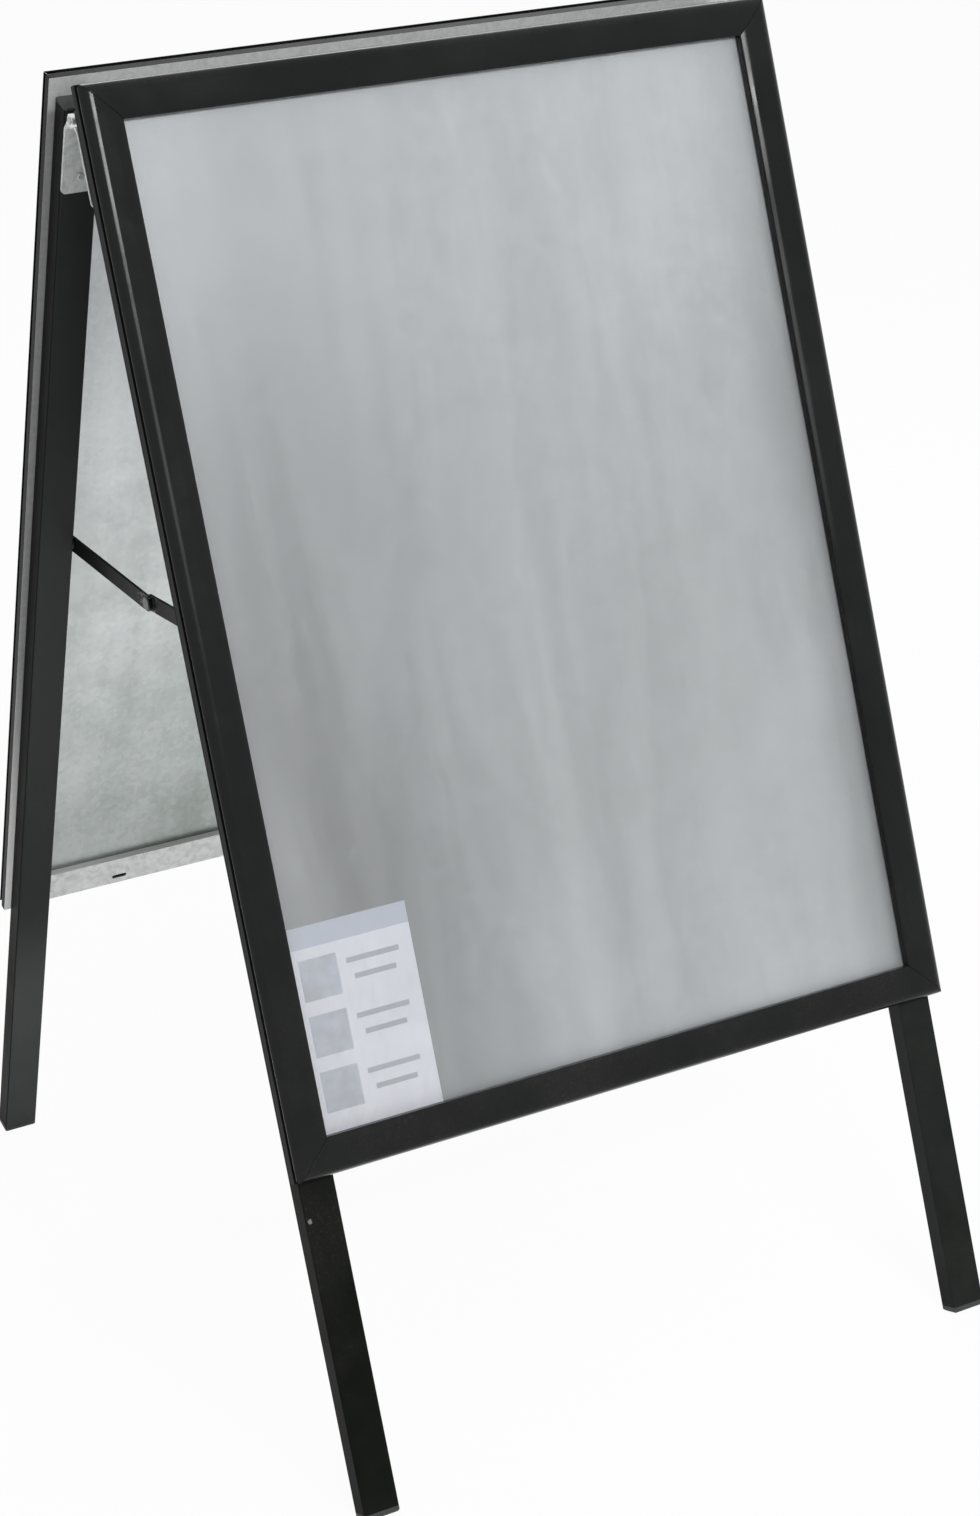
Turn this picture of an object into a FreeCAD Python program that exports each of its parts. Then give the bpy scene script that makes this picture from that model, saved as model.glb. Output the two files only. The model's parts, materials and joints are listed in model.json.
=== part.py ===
# Pavement poster stand: two snap frames on tube legs, hinged at the top and tied by folding stays.
# Lengths are in millimetres and angles in degrees.
# The origin is on the ground under the middle of the hinge line: +X right, +Y to the rear, +Z up.
import FreeCAD, Part
import math
import operator
import os
import Sketcher

SIZES = {
    # Stand, measured along a panel from the hinge pin
    "lean": 19.0,
    "leg_reach": 1150.5,
    "leg_rise": 5.0,
    "frame_rise": 22.0,
    "sole_depth": 1.5,
    # Leg tube
    "leg_width": 32.0,
    "leg_depth": 20.0,
    "leg_wall": 1.5,
    "leg_corner": 2.0,
    "leg_inset": 6.0,
    # Plugs in the leg ends
    "foot_flange": 5.0,
    "foot_insert": 28.0,
    "foot_chamfer": 1.5,
    "cap_flange": 2.0,
    "cap_insert": 16.0,
    "plug_wall": 2.0,
    "plug_clearance": 0.2,
    # Frame
    "poster_width": 594.0,
    "poster_height": 841.0,
    "poster_overlap": 10.0,
    "rail_width": 32.0,
    "rail_depth": 19.0,
    # Base rail section
    "base_width": 30.0,
    "base_web": 1.5,
    "base_wall": 1.6,
    "shoulder_height": 7.0,
    "shoulder_thickness": 1.5,
    "ledge_height": 6.5,
    "ledge_thickness": 1.5,
    "fence_inset": 16.0,
    "fence_wall": 1.5,
    "fence_height": 9.5,
    "pivot_inset": 3.2,
    "pivot_height": 10.5,
    "bead_radius": 1.6,
    "neck_thickness": 1.4,
    "bead_relief": 12.0,
    "drain_length": 15.0,
    "drain_width": 4.0,
    "drain_inset": 8.0,
    "drain_offset": 200.0,
    # Snap cover section
    "cover_wall": 1.6,
    "cover_round": 9.5,
    "cover_edge": 12.0,
    "crown_start": 21.5,
    "crown_round": 23.0,
    "lip_round": 1.5,
    "lip_foot": 3.0,
    "lip_gap": 0.3,
    "hook_wall": 1.3,
    "hook_start": -48.0,
    "hook_end": 133.0,
    "hook_clearance": 0.08,
    "mitre_gap": 0.25,
    "notch_length": 3.0,
    "notch_height": 13.4,
    # Sheets, poster side
    "back_sheet": 0.8,
    "leaflet_sheet": 0.2,
    "clear_sheet": 1.0,
    "sheet_clearance": 0.3,
    "leaflet_width": 118.0,
    "leaflet_height": 176.0,
    "leaflet_tuck": 7.0,
    # Corner keys and cover springs
    "key_arm": 45.0,
    "key_thickness": 3.0,
    "key_clearance": 0.2,
    "spring_thickness": 0.6,
    "spring_length": 40.0,
    "spring_gap": 0.3,
    "spring_spread": 160.0,
    # Hinges
    "pin_radius": 3.0,
    "pin_clearance": 0.05,
    "pin_overhang": 1.5,
    "pin_chamfer": 0.6,
    "leaf_thickness": 2.5,
    "leaf_length": 71.0,
    "leaf_corner": 4.0,
    "leaf_crank": 5.1,
    "crank_top": 3.0,
    "crank_drop": 12.0,
    "knuckle_length": 11.0,
    "knuckle_gap": 0.4,
    # Rivets of the frames and hinges
    "rivet_radius": 2.0,
    "rivet_head_radius": 3.4,
    "rivet_head": 1.2,
    "rivet_chamfer": 0.8,
    "rivet_tail_radius": 2.8,
    "rivet_tail": 2.5,
    "frame_rivet_inset": 11.0,
    "frame_rivet_pitch": 360.0,
    "hinge_rivet_drop": 16.5,
    "hinge_rivet_pitch": 40.0,
    # Folding stays
    "stay_drop": 433.0,
    "stay_sag": 8.0,
    "stay_standoff": 3.0,
    "link_width": 14.0,
    "link_thickness": 2.5,
    "lap_gap": 0.3,
    "stay_pin_radius": 3.0,
    "stay_pin_clearance": 0.05,
    "stay_shoulder_radius": 5.0,
    "stay_head_radius": 5.5,
    "stay_head": 1.4,
}

ORIGIN = FreeCAD.Vector(0, 0, 0)
X_AXIS = FreeCAD.Vector(1, 0, 0)
Z_AXIS = FreeCAD.Vector(0, 0, 1)
NO_TURN = FreeCAD.Rotation()
# Edges are picked out by where they lie, to within this much
HAIR = 0.001

# The front panel is drawn upright and leans back; the rear one is the same panel turned about Z.
PANEL_TURN = {"front": 0.0, "rear": 180.0}
PANEL_SIGN = {"front": 1, "rear": -1}
SIDE_SIGN = {"left": -1, "right": 1}
# Turn of each rail about the panel's outward normal, starting from the bottom one
RAIL_TURN = {"bottom": 0.0, "right": 90.0, "top": 180.0, "left": 270.0}

doc = FreeCAD.newDocument("poster_stand")
sheet = doc.addObject("Spreadsheet::Sheet", "Sizes")
for row, (alias, number) in enumerate(SIZES.items(), start=1):
    sheet.set(f"A{row}", alias)
    sheet.set(f"B{row}", str(number))
    sheet.setAlias(f"B{row}", alias)
doc.recompute()


# Sizes that carry both their number and the sheet formula behind it

class Size:
    """A number together with the formula that gives it from the sheet."""

    def __init__(self, number, formula):
        self.number = number
        self.formula = formula

    def __add__(self, other):
        return combine(self, operator.add, "+", other)

    def __radd__(self, other):
        return combine(other, operator.add, "+", self)

    def __sub__(self, other):
        return combine(self, operator.sub, "-", other)

    def __rsub__(self, other):
        return combine(other, operator.sub, "-", self)

    def __mul__(self, other):
        return combine(self, operator.mul, "*", other)

    def __rmul__(self, other):
        return combine(other, operator.mul, "*", self)

    def __truediv__(self, other):
        return combine(self, operator.truediv, "/", other)

    def __neg__(self):
        return combine(0, operator.sub, "-", self)


def as_size(value):
    if isinstance(value, Size):
        return value
    return Size(float(value), str(value))


def combine(left, work, sign, right):
    left = as_size(left)
    right = as_size(right)
    return Size(work(left.number, right.number), f"({left.formula} {sign} {right.formula})")


def sine(angle):
    return Size(math.sin(math.radians(angle.number)), f"sin({angle.formula})")


def cosine(angle):
    return Size(math.cos(math.radians(angle.number)), f"cos({angle.formula})")


def root(size):
    return Size(math.sqrt(size.number), f"sqrt({size.formula})")


class SheetSizes:
    """Looks up a driving size by its name in the sheet."""

    def __getattr__(self, alias):
        return Size(float(getattr(sheet, alias)), f"Sizes.{alias}")


dim = SheetSizes()
ZERO = as_size(0)

# Sizes worked out from the driving ones
knuckle_radius = dim.pin_radius + dim.pin_clearance + dim.leaf_thickness
hinge_offset = knuckle_radius + dim.leaf_crank
leg_front = hinge_offset + dim.leg_depth
leg_middle = hinge_offset + dim.leg_depth / 2
outer_width = dim.poster_width + (dim.rail_width - dim.poster_overlap) * 2
outer_height = dim.poster_height + (dim.rail_width - dim.poster_overlap) * 2
frame_centre = dim.frame_rise - outer_height / 2
leg_outside = outer_width / 2 - dim.leg_inset
leg_inside = leg_outside - dim.leg_width
leg_centre = leg_outside - dim.leg_width / 2
tube_top = dim.leg_rise - dim.cap_flange
tube_end = dim.leg_reach - dim.foot_flange
pin_height = dim.leg_reach * cosine(dim.lean) - hinge_offset * sine(dim.lean) - dim.sole_depth
rivet_column = outer_width / 2 - dim.frame_rivet_inset
rivet_rows = [dim.frame_rivet_pitch * step for step in (-1, 0, 1)]
hinge_rivet_rows = [dim.hinge_rivet_drop, dim.hinge_rivet_drop + dim.hinge_rivet_pitch]
sheet_inset = dim.fence_inset + dim.sheet_clearance
leaflet_seat = dim.ledge_height + dim.back_sheet
clear_seat = leaflet_seat + dim.leaflet_sheet
lip_height = clear_seat + dim.clear_sheet + dim.lip_gap
hook_radius = dim.bead_radius + dim.hook_clearance
hook_outside = hook_radius + dim.hook_wall
half_span = dim.stay_drop * sine(dim.lean) + leg_middle * cosine(dim.lean)
pivot_level = pin_height - dim.stay_drop * cosine(dim.lean) + leg_middle * sine(dim.lean)
link_length = root(half_span * half_span + dim.stay_sag * dim.stay_sag)
# How far inboard of the leg's side face each link of a stay begins
link_start = {
    "rear": dim.stay_standoff,
    "front": dim.stay_standoff + dim.link_thickness + dim.lap_gap,
}


# Drawing helpers

class Stop:
    """A corner of an outline; the line arrives straight, or by an arc about a centre."""

    def __init__(self, x, y, centre=None, turn=1):
        self.x = as_size(x)
        self.y = as_size(y)
        self.centre = centre
        self.turn = turn

    def place(self):
        return FreeCAD.Vector(self.x.number, self.y.number, 0)


def arc(x, y, centre, turn):
    """Arrives at x, y round the centre: turn 1 is anticlockwise, -1 is clockwise."""
    return Stop(x, y, (as_size(centre[0]), as_size(centre[1])), turn)


def draw(body, purpose, plane, offset=ZERO):
    """Starts a sketch of the body, offset along the normal of one of its own origin planes."""
    sketch = body.newObject("Sketcher::SketchObject", f"{body.Name}_{purpose}")
    support = next(item for item in body.Origin.OriginFeatures if item.Role == plane)
    sketch.AttachmentSupport = [(support, "")]
    sketch.MapMode = "FlatFace"
    sketch.setExpression("AttachmentOffset.Base.z", offset.formula)
    return sketch


def fix(sketch, axis, geometry, point, size):
    """Holds one coordinate of a point of the sketch at a size."""
    if size.formula == ZERO.formula:
        line = {"X": -2, "Y": -1}[axis]
        sketch.addConstraint(Sketcher.Constraint("PointOnObject", geometry, point, line))
        return
    index = sketch.addConstraint(Sketcher.Constraint(f"Distance{axis}", -1, 1, geometry, point, size.number))
    sketch.setExpression(f"Constraints[{index}]", size.formula)


def bearing(direction):
    return math.atan2(direction.y, direction.x)


def outline(sketch, stops):
    """Draws a closed outline through the stops and ties every corner to its sizes."""
    ends = []
    for index, stop in enumerate(stops):
        begin = stops[index - 1].place()
        finish = stop.place()
        if stop.centre is None:
            geometry = sketch.addGeometry(Part.LineSegment(begin, finish), False)
            ends.append((geometry, 1, 2))
            continue
        middle = FreeCAD.Vector(stop.centre[0].number, stop.centre[1].number, 0)
        circle = Part.Circle(middle, Z_AXIS, (finish - middle).Length)
        first, last = (begin, finish) if stop.turn > 0 else (finish, begin)
        curve = Part.ArcOfCircle(circle, bearing(first - middle), bearing(last - middle))
        geometry = sketch.addGeometry(curve, False)
        ends.append((geometry, 1, 2) if stop.turn > 0 else (geometry, 2, 1))
    for index, stop in enumerate(stops):
        geometry, start, end = ends[index]
        follower, follower_start, follower_end = ends[(index + 1) % len(stops)]
        sketch.addConstraint(Sketcher.Constraint("Coincident", geometry, end, follower, follower_start))
        fix(sketch, "X", geometry, end, stop.x)
        fix(sketch, "Y", geometry, end, stop.y)
    for index, stop in enumerate(stops):
        if stop.centre is None:
            continue
        chord = stop.place() - stops[index - 1].place()
        level = abs(chord.y) > abs(chord.x)
        fix(sketch, "X" if level else "Y", ends[index][0], 3, stop.centre[0 if level else 1])


def circle(sketch, x, y, radius):
    x = as_size(x)
    y = as_size(y)
    middle = FreeCAD.Vector(x.number, y.number, 0)
    geometry = sketch.addGeometry(Part.Circle(middle, Z_AXIS, radius.number), False)
    fix(sketch, "X", geometry, 3, x)
    fix(sketch, "Y", geometry, 3, y)
    index = sketch.addConstraint(Sketcher.Constraint("Radius", geometry, radius.number))
    sketch.setExpression(f"Constraints[{index}]", radius.formula)


def rectangle(sketch, low_x, low_y, high_x, high_y):
    outline(sketch, [Stop(low_x, low_y), Stop(high_x, low_y), Stop(high_x, high_y), Stop(low_x, high_y)])


def rounded_rectangle(sketch, low_x, low_y, high_x, high_y, radius):
    left = low_x + radius
    right = high_x - radius
    bottom = low_y + radius
    top = high_y - radius
    outline(sketch, [
        Stop(right, low_y),
        arc(high_x, bottom, (right, bottom), 1),
        Stop(high_x, top),
        arc(right, high_y, (right, top), 1),
        Stop(left, high_y),
        arc(low_x, top, (left, top), 1),
        Stop(low_x, bottom),
        arc(left, low_y, (left, bottom), 1),
    ])


def slot(sketch, start_x, end_x, middle_y, half_width):
    """Draws a bar outline with round ends about the two end points."""
    outline(sketch, [
        Stop(end_x, middle_y - half_width),
        arc(end_x, middle_y + half_width, (end_x, middle_y), 1),
        Stop(start_x, middle_y + half_width),
        arc(start_x, middle_y - half_width, (start_x, middle_y), 1),
    ])


def pad(body, sketch, length, symmetric=False, reverse=False):
    feature = body.newObject("PartDesign::Pad", f"{sketch.Name}_pad")
    feature.Profile = sketch
    feature.setExpression("Length", length.formula)
    feature.SideType = "Symmetric" if symmetric else "One side"
    feature.Reversed = reverse
    return feature


def pocket(body, sketch, length=None, reverse=False):
    """Cuts the sketch out of the body: right through both ways, or to a depth."""
    doc.recompute()
    before = body.Shape.Volume
    feature = body.newObject("PartDesign::Pocket", f"{sketch.Name}_pocket")
    feature.Profile = sketch
    if length is None:
        feature.Type = "ThroughAll"
        feature.SideType = "Symmetric"
    else:
        feature.setExpression("Length", length.formula)
        feature.Reversed = reverse
    doc.recompute()
    if not body.Shape.Volume < before:
        raise ValueError(f"{feature.Name} cuts nothing")
    return feature


def soften(body, feature, kind, size_name, size, wanted):
    """Rounds or chamfers the edges of a feature that the test picks out."""
    doc.recompute()
    edges = [f"Edge{index}" for index, edge in enumerate(feature.Shape.Edges, start=1) if wanted(edge)]
    result = body.newObject(f"PartDesign::{kind}", f"{feature.Name}_{kind}")
    result.Base = (feature, edges)
    result.setExpression(size_name, size.formula)
    return result


pieces = {}


def new_body(label):
    body = doc.addObject("PartDesign::Body", label)
    body.Label = label
    body.AllowCompound = True
    return body


def keep(item, placement):
    """Puts a finished sub-part in its place and lists it for export."""
    item.Placement = placement
    pieces[item.Label] = item


def panel_placement(panel):
    turn = FreeCAD.Rotation(Z_AXIS, PANEL_TURN[panel])
    lean = FreeCAD.Rotation(X_AXIS, -dim.lean.number)
    return FreeCAD.Placement(FreeCAD.Vector(0, 0, pin_height.number), turn.multiply(lean))


def rail_half(rail):
    return outer_height / 2 if rail in ("top", "bottom") else outer_width / 2


def rail_length(rail):
    return outer_width if rail in ("top", "bottom") else outer_height


def rail_placement(panel, rail):
    """Rails are drawn with X along them, Y inward from the outer edge and Z outward from the legs."""
    middle = FreeCAD.Vector(0, -leg_front.number, frame_centre.number)
    stand_up = FreeCAD.Placement(middle, FreeCAD.Rotation(X_AXIS, 90))
    turn = FreeCAD.Rotation(Z_AXIS, RAIL_TURN[rail] * PANEL_SIGN[panel])
    to_edge = FreeCAD.Placement(FreeCAD.Vector(0, -rail_half(rail).number, 0), NO_TURN)
    return panel_placement(panel) * stand_up * FreeCAD.Placement(ORIGIN, turn) * to_edge


def local_sign(panel, side):
    """Side of the panel as drawn: the rear one is turned round, so its sides swap."""
    return SIDE_SIGN[side] * PANEL_SIGN[panel]


def span(sign, low, high):
    """Limits of a stretch from low to high, mirrored for the negative side."""
    if sign > 0:
        return low, high
    return -high, -low


# Legs and the plugs in their ends

def leg_outline(sketch, sign, inset, radius):
    low, high = span(sign, leg_inside + inset, leg_outside - inset)
    rounded_rectangle(sketch, low, -leg_front + inset, high, -hinge_offset - inset, radius)


def make_leg(panel, side):
    body = new_body(f"{panel}_leg_{side}")
    sign = local_sign(panel, side)
    section = draw(body, "section", "XY_Plane", -tube_end)
    leg_outline(section, sign, ZERO, dim.leg_corner)
    leg_outline(section, sign, dim.leg_wall, dim.leg_corner - dim.leg_wall)
    pad(body, section, tube_end + tube_top)
    frame_holes = draw(body, "frame_holes", "XZ_Plane", leg_front)
    for row in rivet_rows:
        circle(frame_holes, rivet_column * sign, frame_centre + row, dim.rivet_radius)
    pocket(body, frame_holes, dim.leg_wall)
    hinge_holes = draw(body, "hinge_holes", "XZ_Plane", hinge_offset)
    for drop in hinge_rivet_rows:
        circle(hinge_holes, leg_centre * sign, -drop, dim.rivet_radius)
    pocket(body, hinge_holes, dim.leg_wall, reverse=True)
    stay_hole = draw(body, "stay_hole", "YZ_Plane", leg_inside * sign)
    circle(stay_hole, -leg_middle, -dim.stay_drop, dim.stay_pin_radius)
    pocket(body, stay_hole, dim.leg_wall, reverse=sign > 0)
    keep(body, panel_placement(panel))


def add_insert(body, sign, end, length, reverse):
    """Adds the hollow tongue of a plug, which slides into the tube."""
    insert = draw(body, "insert", "XY_Plane", end)
    outside = dim.leg_wall + dim.plug_clearance
    leg_outline(insert, sign, outside, dim.leg_corner - dim.leg_wall)
    low, high = span(sign, leg_inside + outside + dim.plug_wall, leg_outside - outside - dim.plug_wall)
    inner = outside + dim.plug_wall
    rectangle(insert, low, -leg_front + inner, high, -hinge_offset - inner)
    pad(body, insert, length, reverse=reverse)


def make_foot(panel, side):
    body = new_body(f"{panel}_foot_{side}")
    sign = local_sign(panel, side)
    flange = draw(body, "flange", "XY_Plane", -dim.leg_reach)
    leg_outline(flange, sign, ZERO, dim.leg_corner)
    block = pad(body, flange, dim.foot_flange)
    lowest = -dim.leg_reach.number
    soften(body, block, "Chamfer", "Size", dim.foot_chamfer,
           lambda edge: abs(edge.BoundBox.ZMax - lowest) < HAIR)
    add_insert(body, sign, -tube_end, dim.foot_insert, reverse=False)
    # The inner edge is cut flat along the ground, which slopes by the lean in the upright panel
    sole = draw(body, "sole", "YZ_Plane")
    outer_y = -leg_front - dim.foot_flange
    inner_y = -hinge_offset + dim.foot_flange
    below = -dim.leg_reach - dim.leg_depth
    slope = sine(dim.lean) / cosine(dim.lean)
    ground = pin_height / cosine(dim.lean)
    outline(sole, [
        Stop(outer_y, outer_y * slope - ground),
        Stop(outer_y, below),
        Stop(inner_y, below),
        Stop(inner_y, inner_y * slope - ground),
    ])
    pocket(body, sole)
    keep(body, panel_placement(panel))


def make_leg_cap(panel, side):
    body = new_body(f"{panel}_leg_cap_{side}")
    sign = local_sign(panel, side)
    flange = draw(body, "flange", "XY_Plane", tube_top)
    leg_outline(flange, sign, ZERO, dim.leg_corner)
    pad(body, flange, dim.cap_flange)
    add_insert(body, sign, tube_top, dim.cap_insert, reverse=True)
    keep(body, panel_placement(panel))


# Frame rails

def mitre(body, rail, gap):
    """Cuts both ends of a rail at half a right angle."""
    cut = draw(body, "mitre", "XY_Plane")
    half = rail_length(rail) / 2 - gap
    deep = dim.rail_width * 2
    for sign in (-1, 1):
        outline(cut, [
            Stop((half + deep) * sign, -deep),
            Stop((half + deep) * sign, deep),
            Stop((half - deep) * sign, deep),
        ])
    pocket(body, cut)


def make_base_rail(panel, rail):
    body = new_body(f"{panel}_base_{rail}")
    section = draw(body, "section", "YZ_Plane")
    neck_inside = dim.pivot_inset + dim.neck_thickness / 2
    neck_outside = dim.pivot_inset - dim.neck_thickness / 2
    fence_back = dim.fence_inset - dim.fence_wall
    under_shoulder = dim.shoulder_height - dim.shoulder_thickness
    outline(section, [
        Stop(0, 0),
        Stop(dim.base_width, 0),
        Stop(dim.base_width, dim.ledge_height),
        Stop(dim.fence_inset, dim.ledge_height),
        Stop(dim.fence_inset, dim.fence_height),
        Stop(fence_back, dim.fence_height),
        Stop(fence_back, dim.base_web),
        Stop(dim.base_wall, dim.base_web),
        Stop(dim.base_wall, under_shoulder),
        Stop(neck_inside, under_shoulder),
        Stop(neck_inside, dim.shoulder_height),
        Stop(0, dim.shoulder_height),
    ])
    rectangle(section, dim.fence_inset, dim.base_web,
              dim.base_width - dim.fence_wall, dim.ledge_height - dim.ledge_thickness)
    pad(body, section, rail_length(rail), symmetric=True)
    mitre(body, rail, ZERO)
    # The round bead that the cover turns on stops short of the corners
    bead = draw(body, "bead", "YZ_Plane")
    half_neck = dim.neck_thickness / 2
    bead_foot = dim.pivot_height - root(dim.bead_radius * dim.bead_radius - half_neck * half_neck)
    outline(bead, [
        Stop(neck_outside, dim.shoulder_height),
        Stop(neck_inside, dim.shoulder_height),
        Stop(neck_inside, bead_foot),
        arc(neck_outside, bead_foot, (dim.pivot_inset, dim.pivot_height), 1),
    ])
    pad(body, bead, rail_length(rail) - dim.bead_relief * 2, symmetric=True)
    if rail in ("left", "right"):
        holes = draw(body, "rivet_holes", "XY_Plane")
        for row in rivet_rows:
            circle(holes, row, dim.frame_rivet_inset, dim.rivet_radius)
        pocket(body, holes, dim.base_web, reverse=True)
    if rail == "bottom":
        drains = draw(body, "drains", "XY_Plane")
        half_run = (dim.drain_length - dim.drain_width) / 2
        for sign in (-1, 1):
            middle = dim.drain_offset * sign
            slot(drains, middle - half_run, middle + half_run, dim.drain_inset, dim.drain_width / 2)
        pocket(body, drains, dim.base_web, reverse=True)
    keep(body, rail_placement(panel, rail))


def hook_point(radius, angle):
    return dim.pivot_inset + radius * cosine(angle), dim.pivot_height + radius * sine(angle)


def make_cover(panel, rail):
    body = new_body(f"{panel}_cover_{rail}")
    section = draw(body, "section", "YZ_Plane")
    round_centre = (dim.cover_round, dim.rail_depth - dim.cover_round)
    inner_round = dim.cover_round - dim.cover_wall
    edge_rise = dim.cover_edge - round_centre[1]
    outer_edge = dim.cover_round - root(dim.cover_round * dim.cover_round - edge_rise * edge_rise)
    inner_edge = dim.cover_round - root(inner_round * inner_round - edge_rise * edge_rise)
    ceiling = dim.rail_depth - dim.cover_wall
    lip_inside = dim.rail_width - dim.cover_wall
    # The face is crowned: past its flat it falls in a wide arc, and a small one rounds off the lip
    crown_centre = (dim.crown_start, dim.rail_depth - dim.crown_round)
    inner_crown = dim.crown_round - dim.cover_wall
    lip_run = dim.rail_width - dim.lip_round - dim.crown_start
    lip_reach = dim.crown_round - dim.lip_round
    lip_rise = root(lip_reach * lip_reach - lip_run * lip_run)
    lip_centre = (dim.rail_width - dim.lip_round, crown_centre[1] + lip_rise)
    meet_share = dim.crown_round / lip_reach
    crown_end = (dim.crown_start + lip_run * meet_share, crown_centre[1] + lip_rise * meet_share)
    inside_run = lip_inside - dim.crown_start
    inside_rise = root(inner_crown * inner_crown - inside_run * inside_run)
    outline(section, [
        Stop(outer_edge, dim.cover_edge),
        arc(dim.cover_round, dim.rail_depth, round_centre, -1),
        Stop(dim.crown_start, dim.rail_depth),
        arc(*crown_end, crown_centre, -1),
        arc(dim.rail_width, lip_centre[1], lip_centre, -1),
        Stop(dim.rail_width, lip_height),
        Stop(dim.rail_width - dim.lip_foot, lip_height),
        Stop(dim.rail_width - dim.lip_foot, lip_height + dim.cover_wall),
        Stop(lip_inside, lip_height + dim.cover_wall),
        Stop(lip_inside, crown_centre[1] + inside_rise),
        arc(dim.crown_start, ceiling, crown_centre, 1),
        Stop(dim.cover_round, ceiling),
        arc(inner_edge, dim.cover_edge, round_centre, 1),
    ])
    pad(body, section, rail_length(rail), symmetric=True)
    mitre(body, rail, dim.mitre_gap)
    # The free edge is notched at the corners, where two open covers would meet
    notches = draw(body, "notches", "XZ_Plane")
    end = rail_length(rail) / 2
    for sign in (-1, 1):
        low, high = span(sign, end - dim.notch_length, end + dim.notch_length)
        rectangle(notches, low, dim.shoulder_height, high, dim.notch_height)
    pocket(body, notches)
    # The hook wraps the bead of the base rail and leaves room for its neck as the cover swings
    hook = draw(body, "hook", "YZ_Plane")
    pivot = (dim.pivot_inset, dim.pivot_height)
    outline(hook, [
        Stop(*hook_point(hook_outside, dim.hook_start)),
        arc(*hook_point(hook_outside, dim.hook_end), pivot, 1),
        Stop(*hook_point(hook_radius, dim.hook_end)),
        arc(*hook_point(hook_radius, dim.hook_start), pivot, -1),
    ])
    pad(body, hook, rail_length(rail) - dim.bead_relief * 2, symmetric=True)
    keep(body, rail_placement(panel, rail))


def make_corner_keys(panel):
    """Four angle pieces that slide into the hollow ledges and square up the corners."""
    body = new_body(f"{panel}_corner_keys")
    sketch = draw(body, "angles", "XZ_Plane", leg_front + dim.base_web)
    inset = dim.fence_inset + dim.key_clearance
    width = dim.base_width - dim.fence_wall - dim.fence_inset - dim.key_clearance * 2
    corner_x = outer_width / 2 - inset
    corner_z = outer_height / 2 - inset
    for sign_x in (-1, 1):
        for sign_z in (-1, 1):
            steps = [(ZERO, ZERO), (dim.key_arm, ZERO), (dim.key_arm, width),
                     (width, width), (width, dim.key_arm), (ZERO, dim.key_arm)]
            outline(sketch, [
                Stop((corner_x - along) * sign_x, frame_centre + (corner_z - up) * sign_z)
                for along, up in steps
            ])
    pad(body, sketch, dim.key_thickness)
    keep(body, panel_placement(panel))


def spring_places(rail):
    """On the uprights the springs stand halfway between the rivets."""
    if rail in ("left", "right"):
        return [-dim.frame_rivet_pitch / 2, dim.frame_rivet_pitch / 2]
    return [-dim.spring_spread, ZERO, dim.spring_spread]


def make_cover_springs(panel):
    """Bent leaf springs on the rail webs that press on the hooks of the covers."""
    groups = []
    for rail in RAIL_TURN:
        body = new_body(f"{panel}_springs_{rail}")
        tip = dim.pivot_inset + hook_outside + dim.spring_gap
        floor = dim.base_web
        bend = tip + dim.spring_thickness
        for index, place in enumerate(spring_places(rail)):
            strip = draw(body, f"strip{index}", "YZ_Plane", place)
            outline(strip, [
                Stop(dim.fence_inset - dim.fence_wall, floor),
                Stop(dim.fence_inset - dim.fence_wall, floor + dim.spring_thickness),
                Stop(bend + dim.spring_thickness, floor + dim.spring_thickness),
                Stop(tip + dim.spring_thickness, dim.pivot_height),
                Stop(tip, dim.pivot_height),
                Stop(bend, floor),
            ])
            pad(body, strip, dim.spring_length, symmetric=True)
        body.Placement = rail_placement(panel, rail)
        groups.append(body)
    group = doc.addObject("Part::Compound", f"{panel}_cover_springs")
    group.Label = f"{panel}_cover_springs"
    group.Links = groups
    pieces[group.Label] = group


# Sheets

def make_sheet(label, panel, seat, thickness, low, high):
    """A flat sheet between two corners of the panel, on a seat above the legs' front faces."""
    body = new_body(label)
    sketch = draw(body, "sheet", "XZ_Plane", leg_front + seat)
    rectangle(sketch, low[0], low[1], high[0], high[1])
    pad(body, sketch, thickness)
    keep(body, panel_placement(panel))


def make_sheets(panel):
    half_width = outer_width / 2 - sheet_inset
    half_height = outer_height / 2 - sheet_inset
    low = (-half_width, frame_centre - half_height)
    high = (half_width, frame_centre + half_height)
    make_sheet(f"{panel}_back_sheet", panel, dim.ledge_height, dim.back_sheet, low, high)
    make_sheet(f"{panel}_clear_sheet", panel, clear_seat, dim.clear_sheet, low, high)


def make_leaflet():
    """A small card tucked under the lips in the lower left corner of the front panel."""
    left = -outer_width / 2 + dim.rail_width - dim.leaflet_tuck
    bottom = frame_centre - outer_height / 2 + dim.rail_width - dim.leaflet_tuck
    low = (left, bottom)
    high = (left + dim.leaflet_width, bottom + dim.leaflet_height)
    make_sheet("front_leaflet", "front", leaflet_seat, dim.leaflet_sheet, low, high)


# Rivets

def rivet_group(body, centres, seat, grip, outward):
    """Rivets along the panel's normal: a low head on the seat, a shank and a tail behind the grip."""
    rise = 1 if outward else -1
    head = draw(body, "heads", "XZ_Plane", seat)
    shank = draw(body, "shanks", "XZ_Plane", seat)
    tail = draw(body, "tails", "XZ_Plane", seat - grip * rise)
    for x, z in centres:
        circle(head, x, z, dim.rivet_head_radius)
        circle(shank, x, z, dim.rivet_radius)
        circle(tail, x, z, dim.rivet_tail_radius)
    heads = pad(body, head, dim.rivet_head, reverse=not outward)
    top = -(seat + dim.rivet_head * rise).number
    soften(body, heads, "Chamfer", "Size", dim.rivet_chamfer,
           lambda edge: abs(edge.BoundBox.YMin - top) < HAIR and abs(edge.BoundBox.YMax - top) < HAIR)
    pad(body, shank, grip, reverse=outward)
    pad(body, tail, dim.rivet_tail, reverse=outward)


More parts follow.
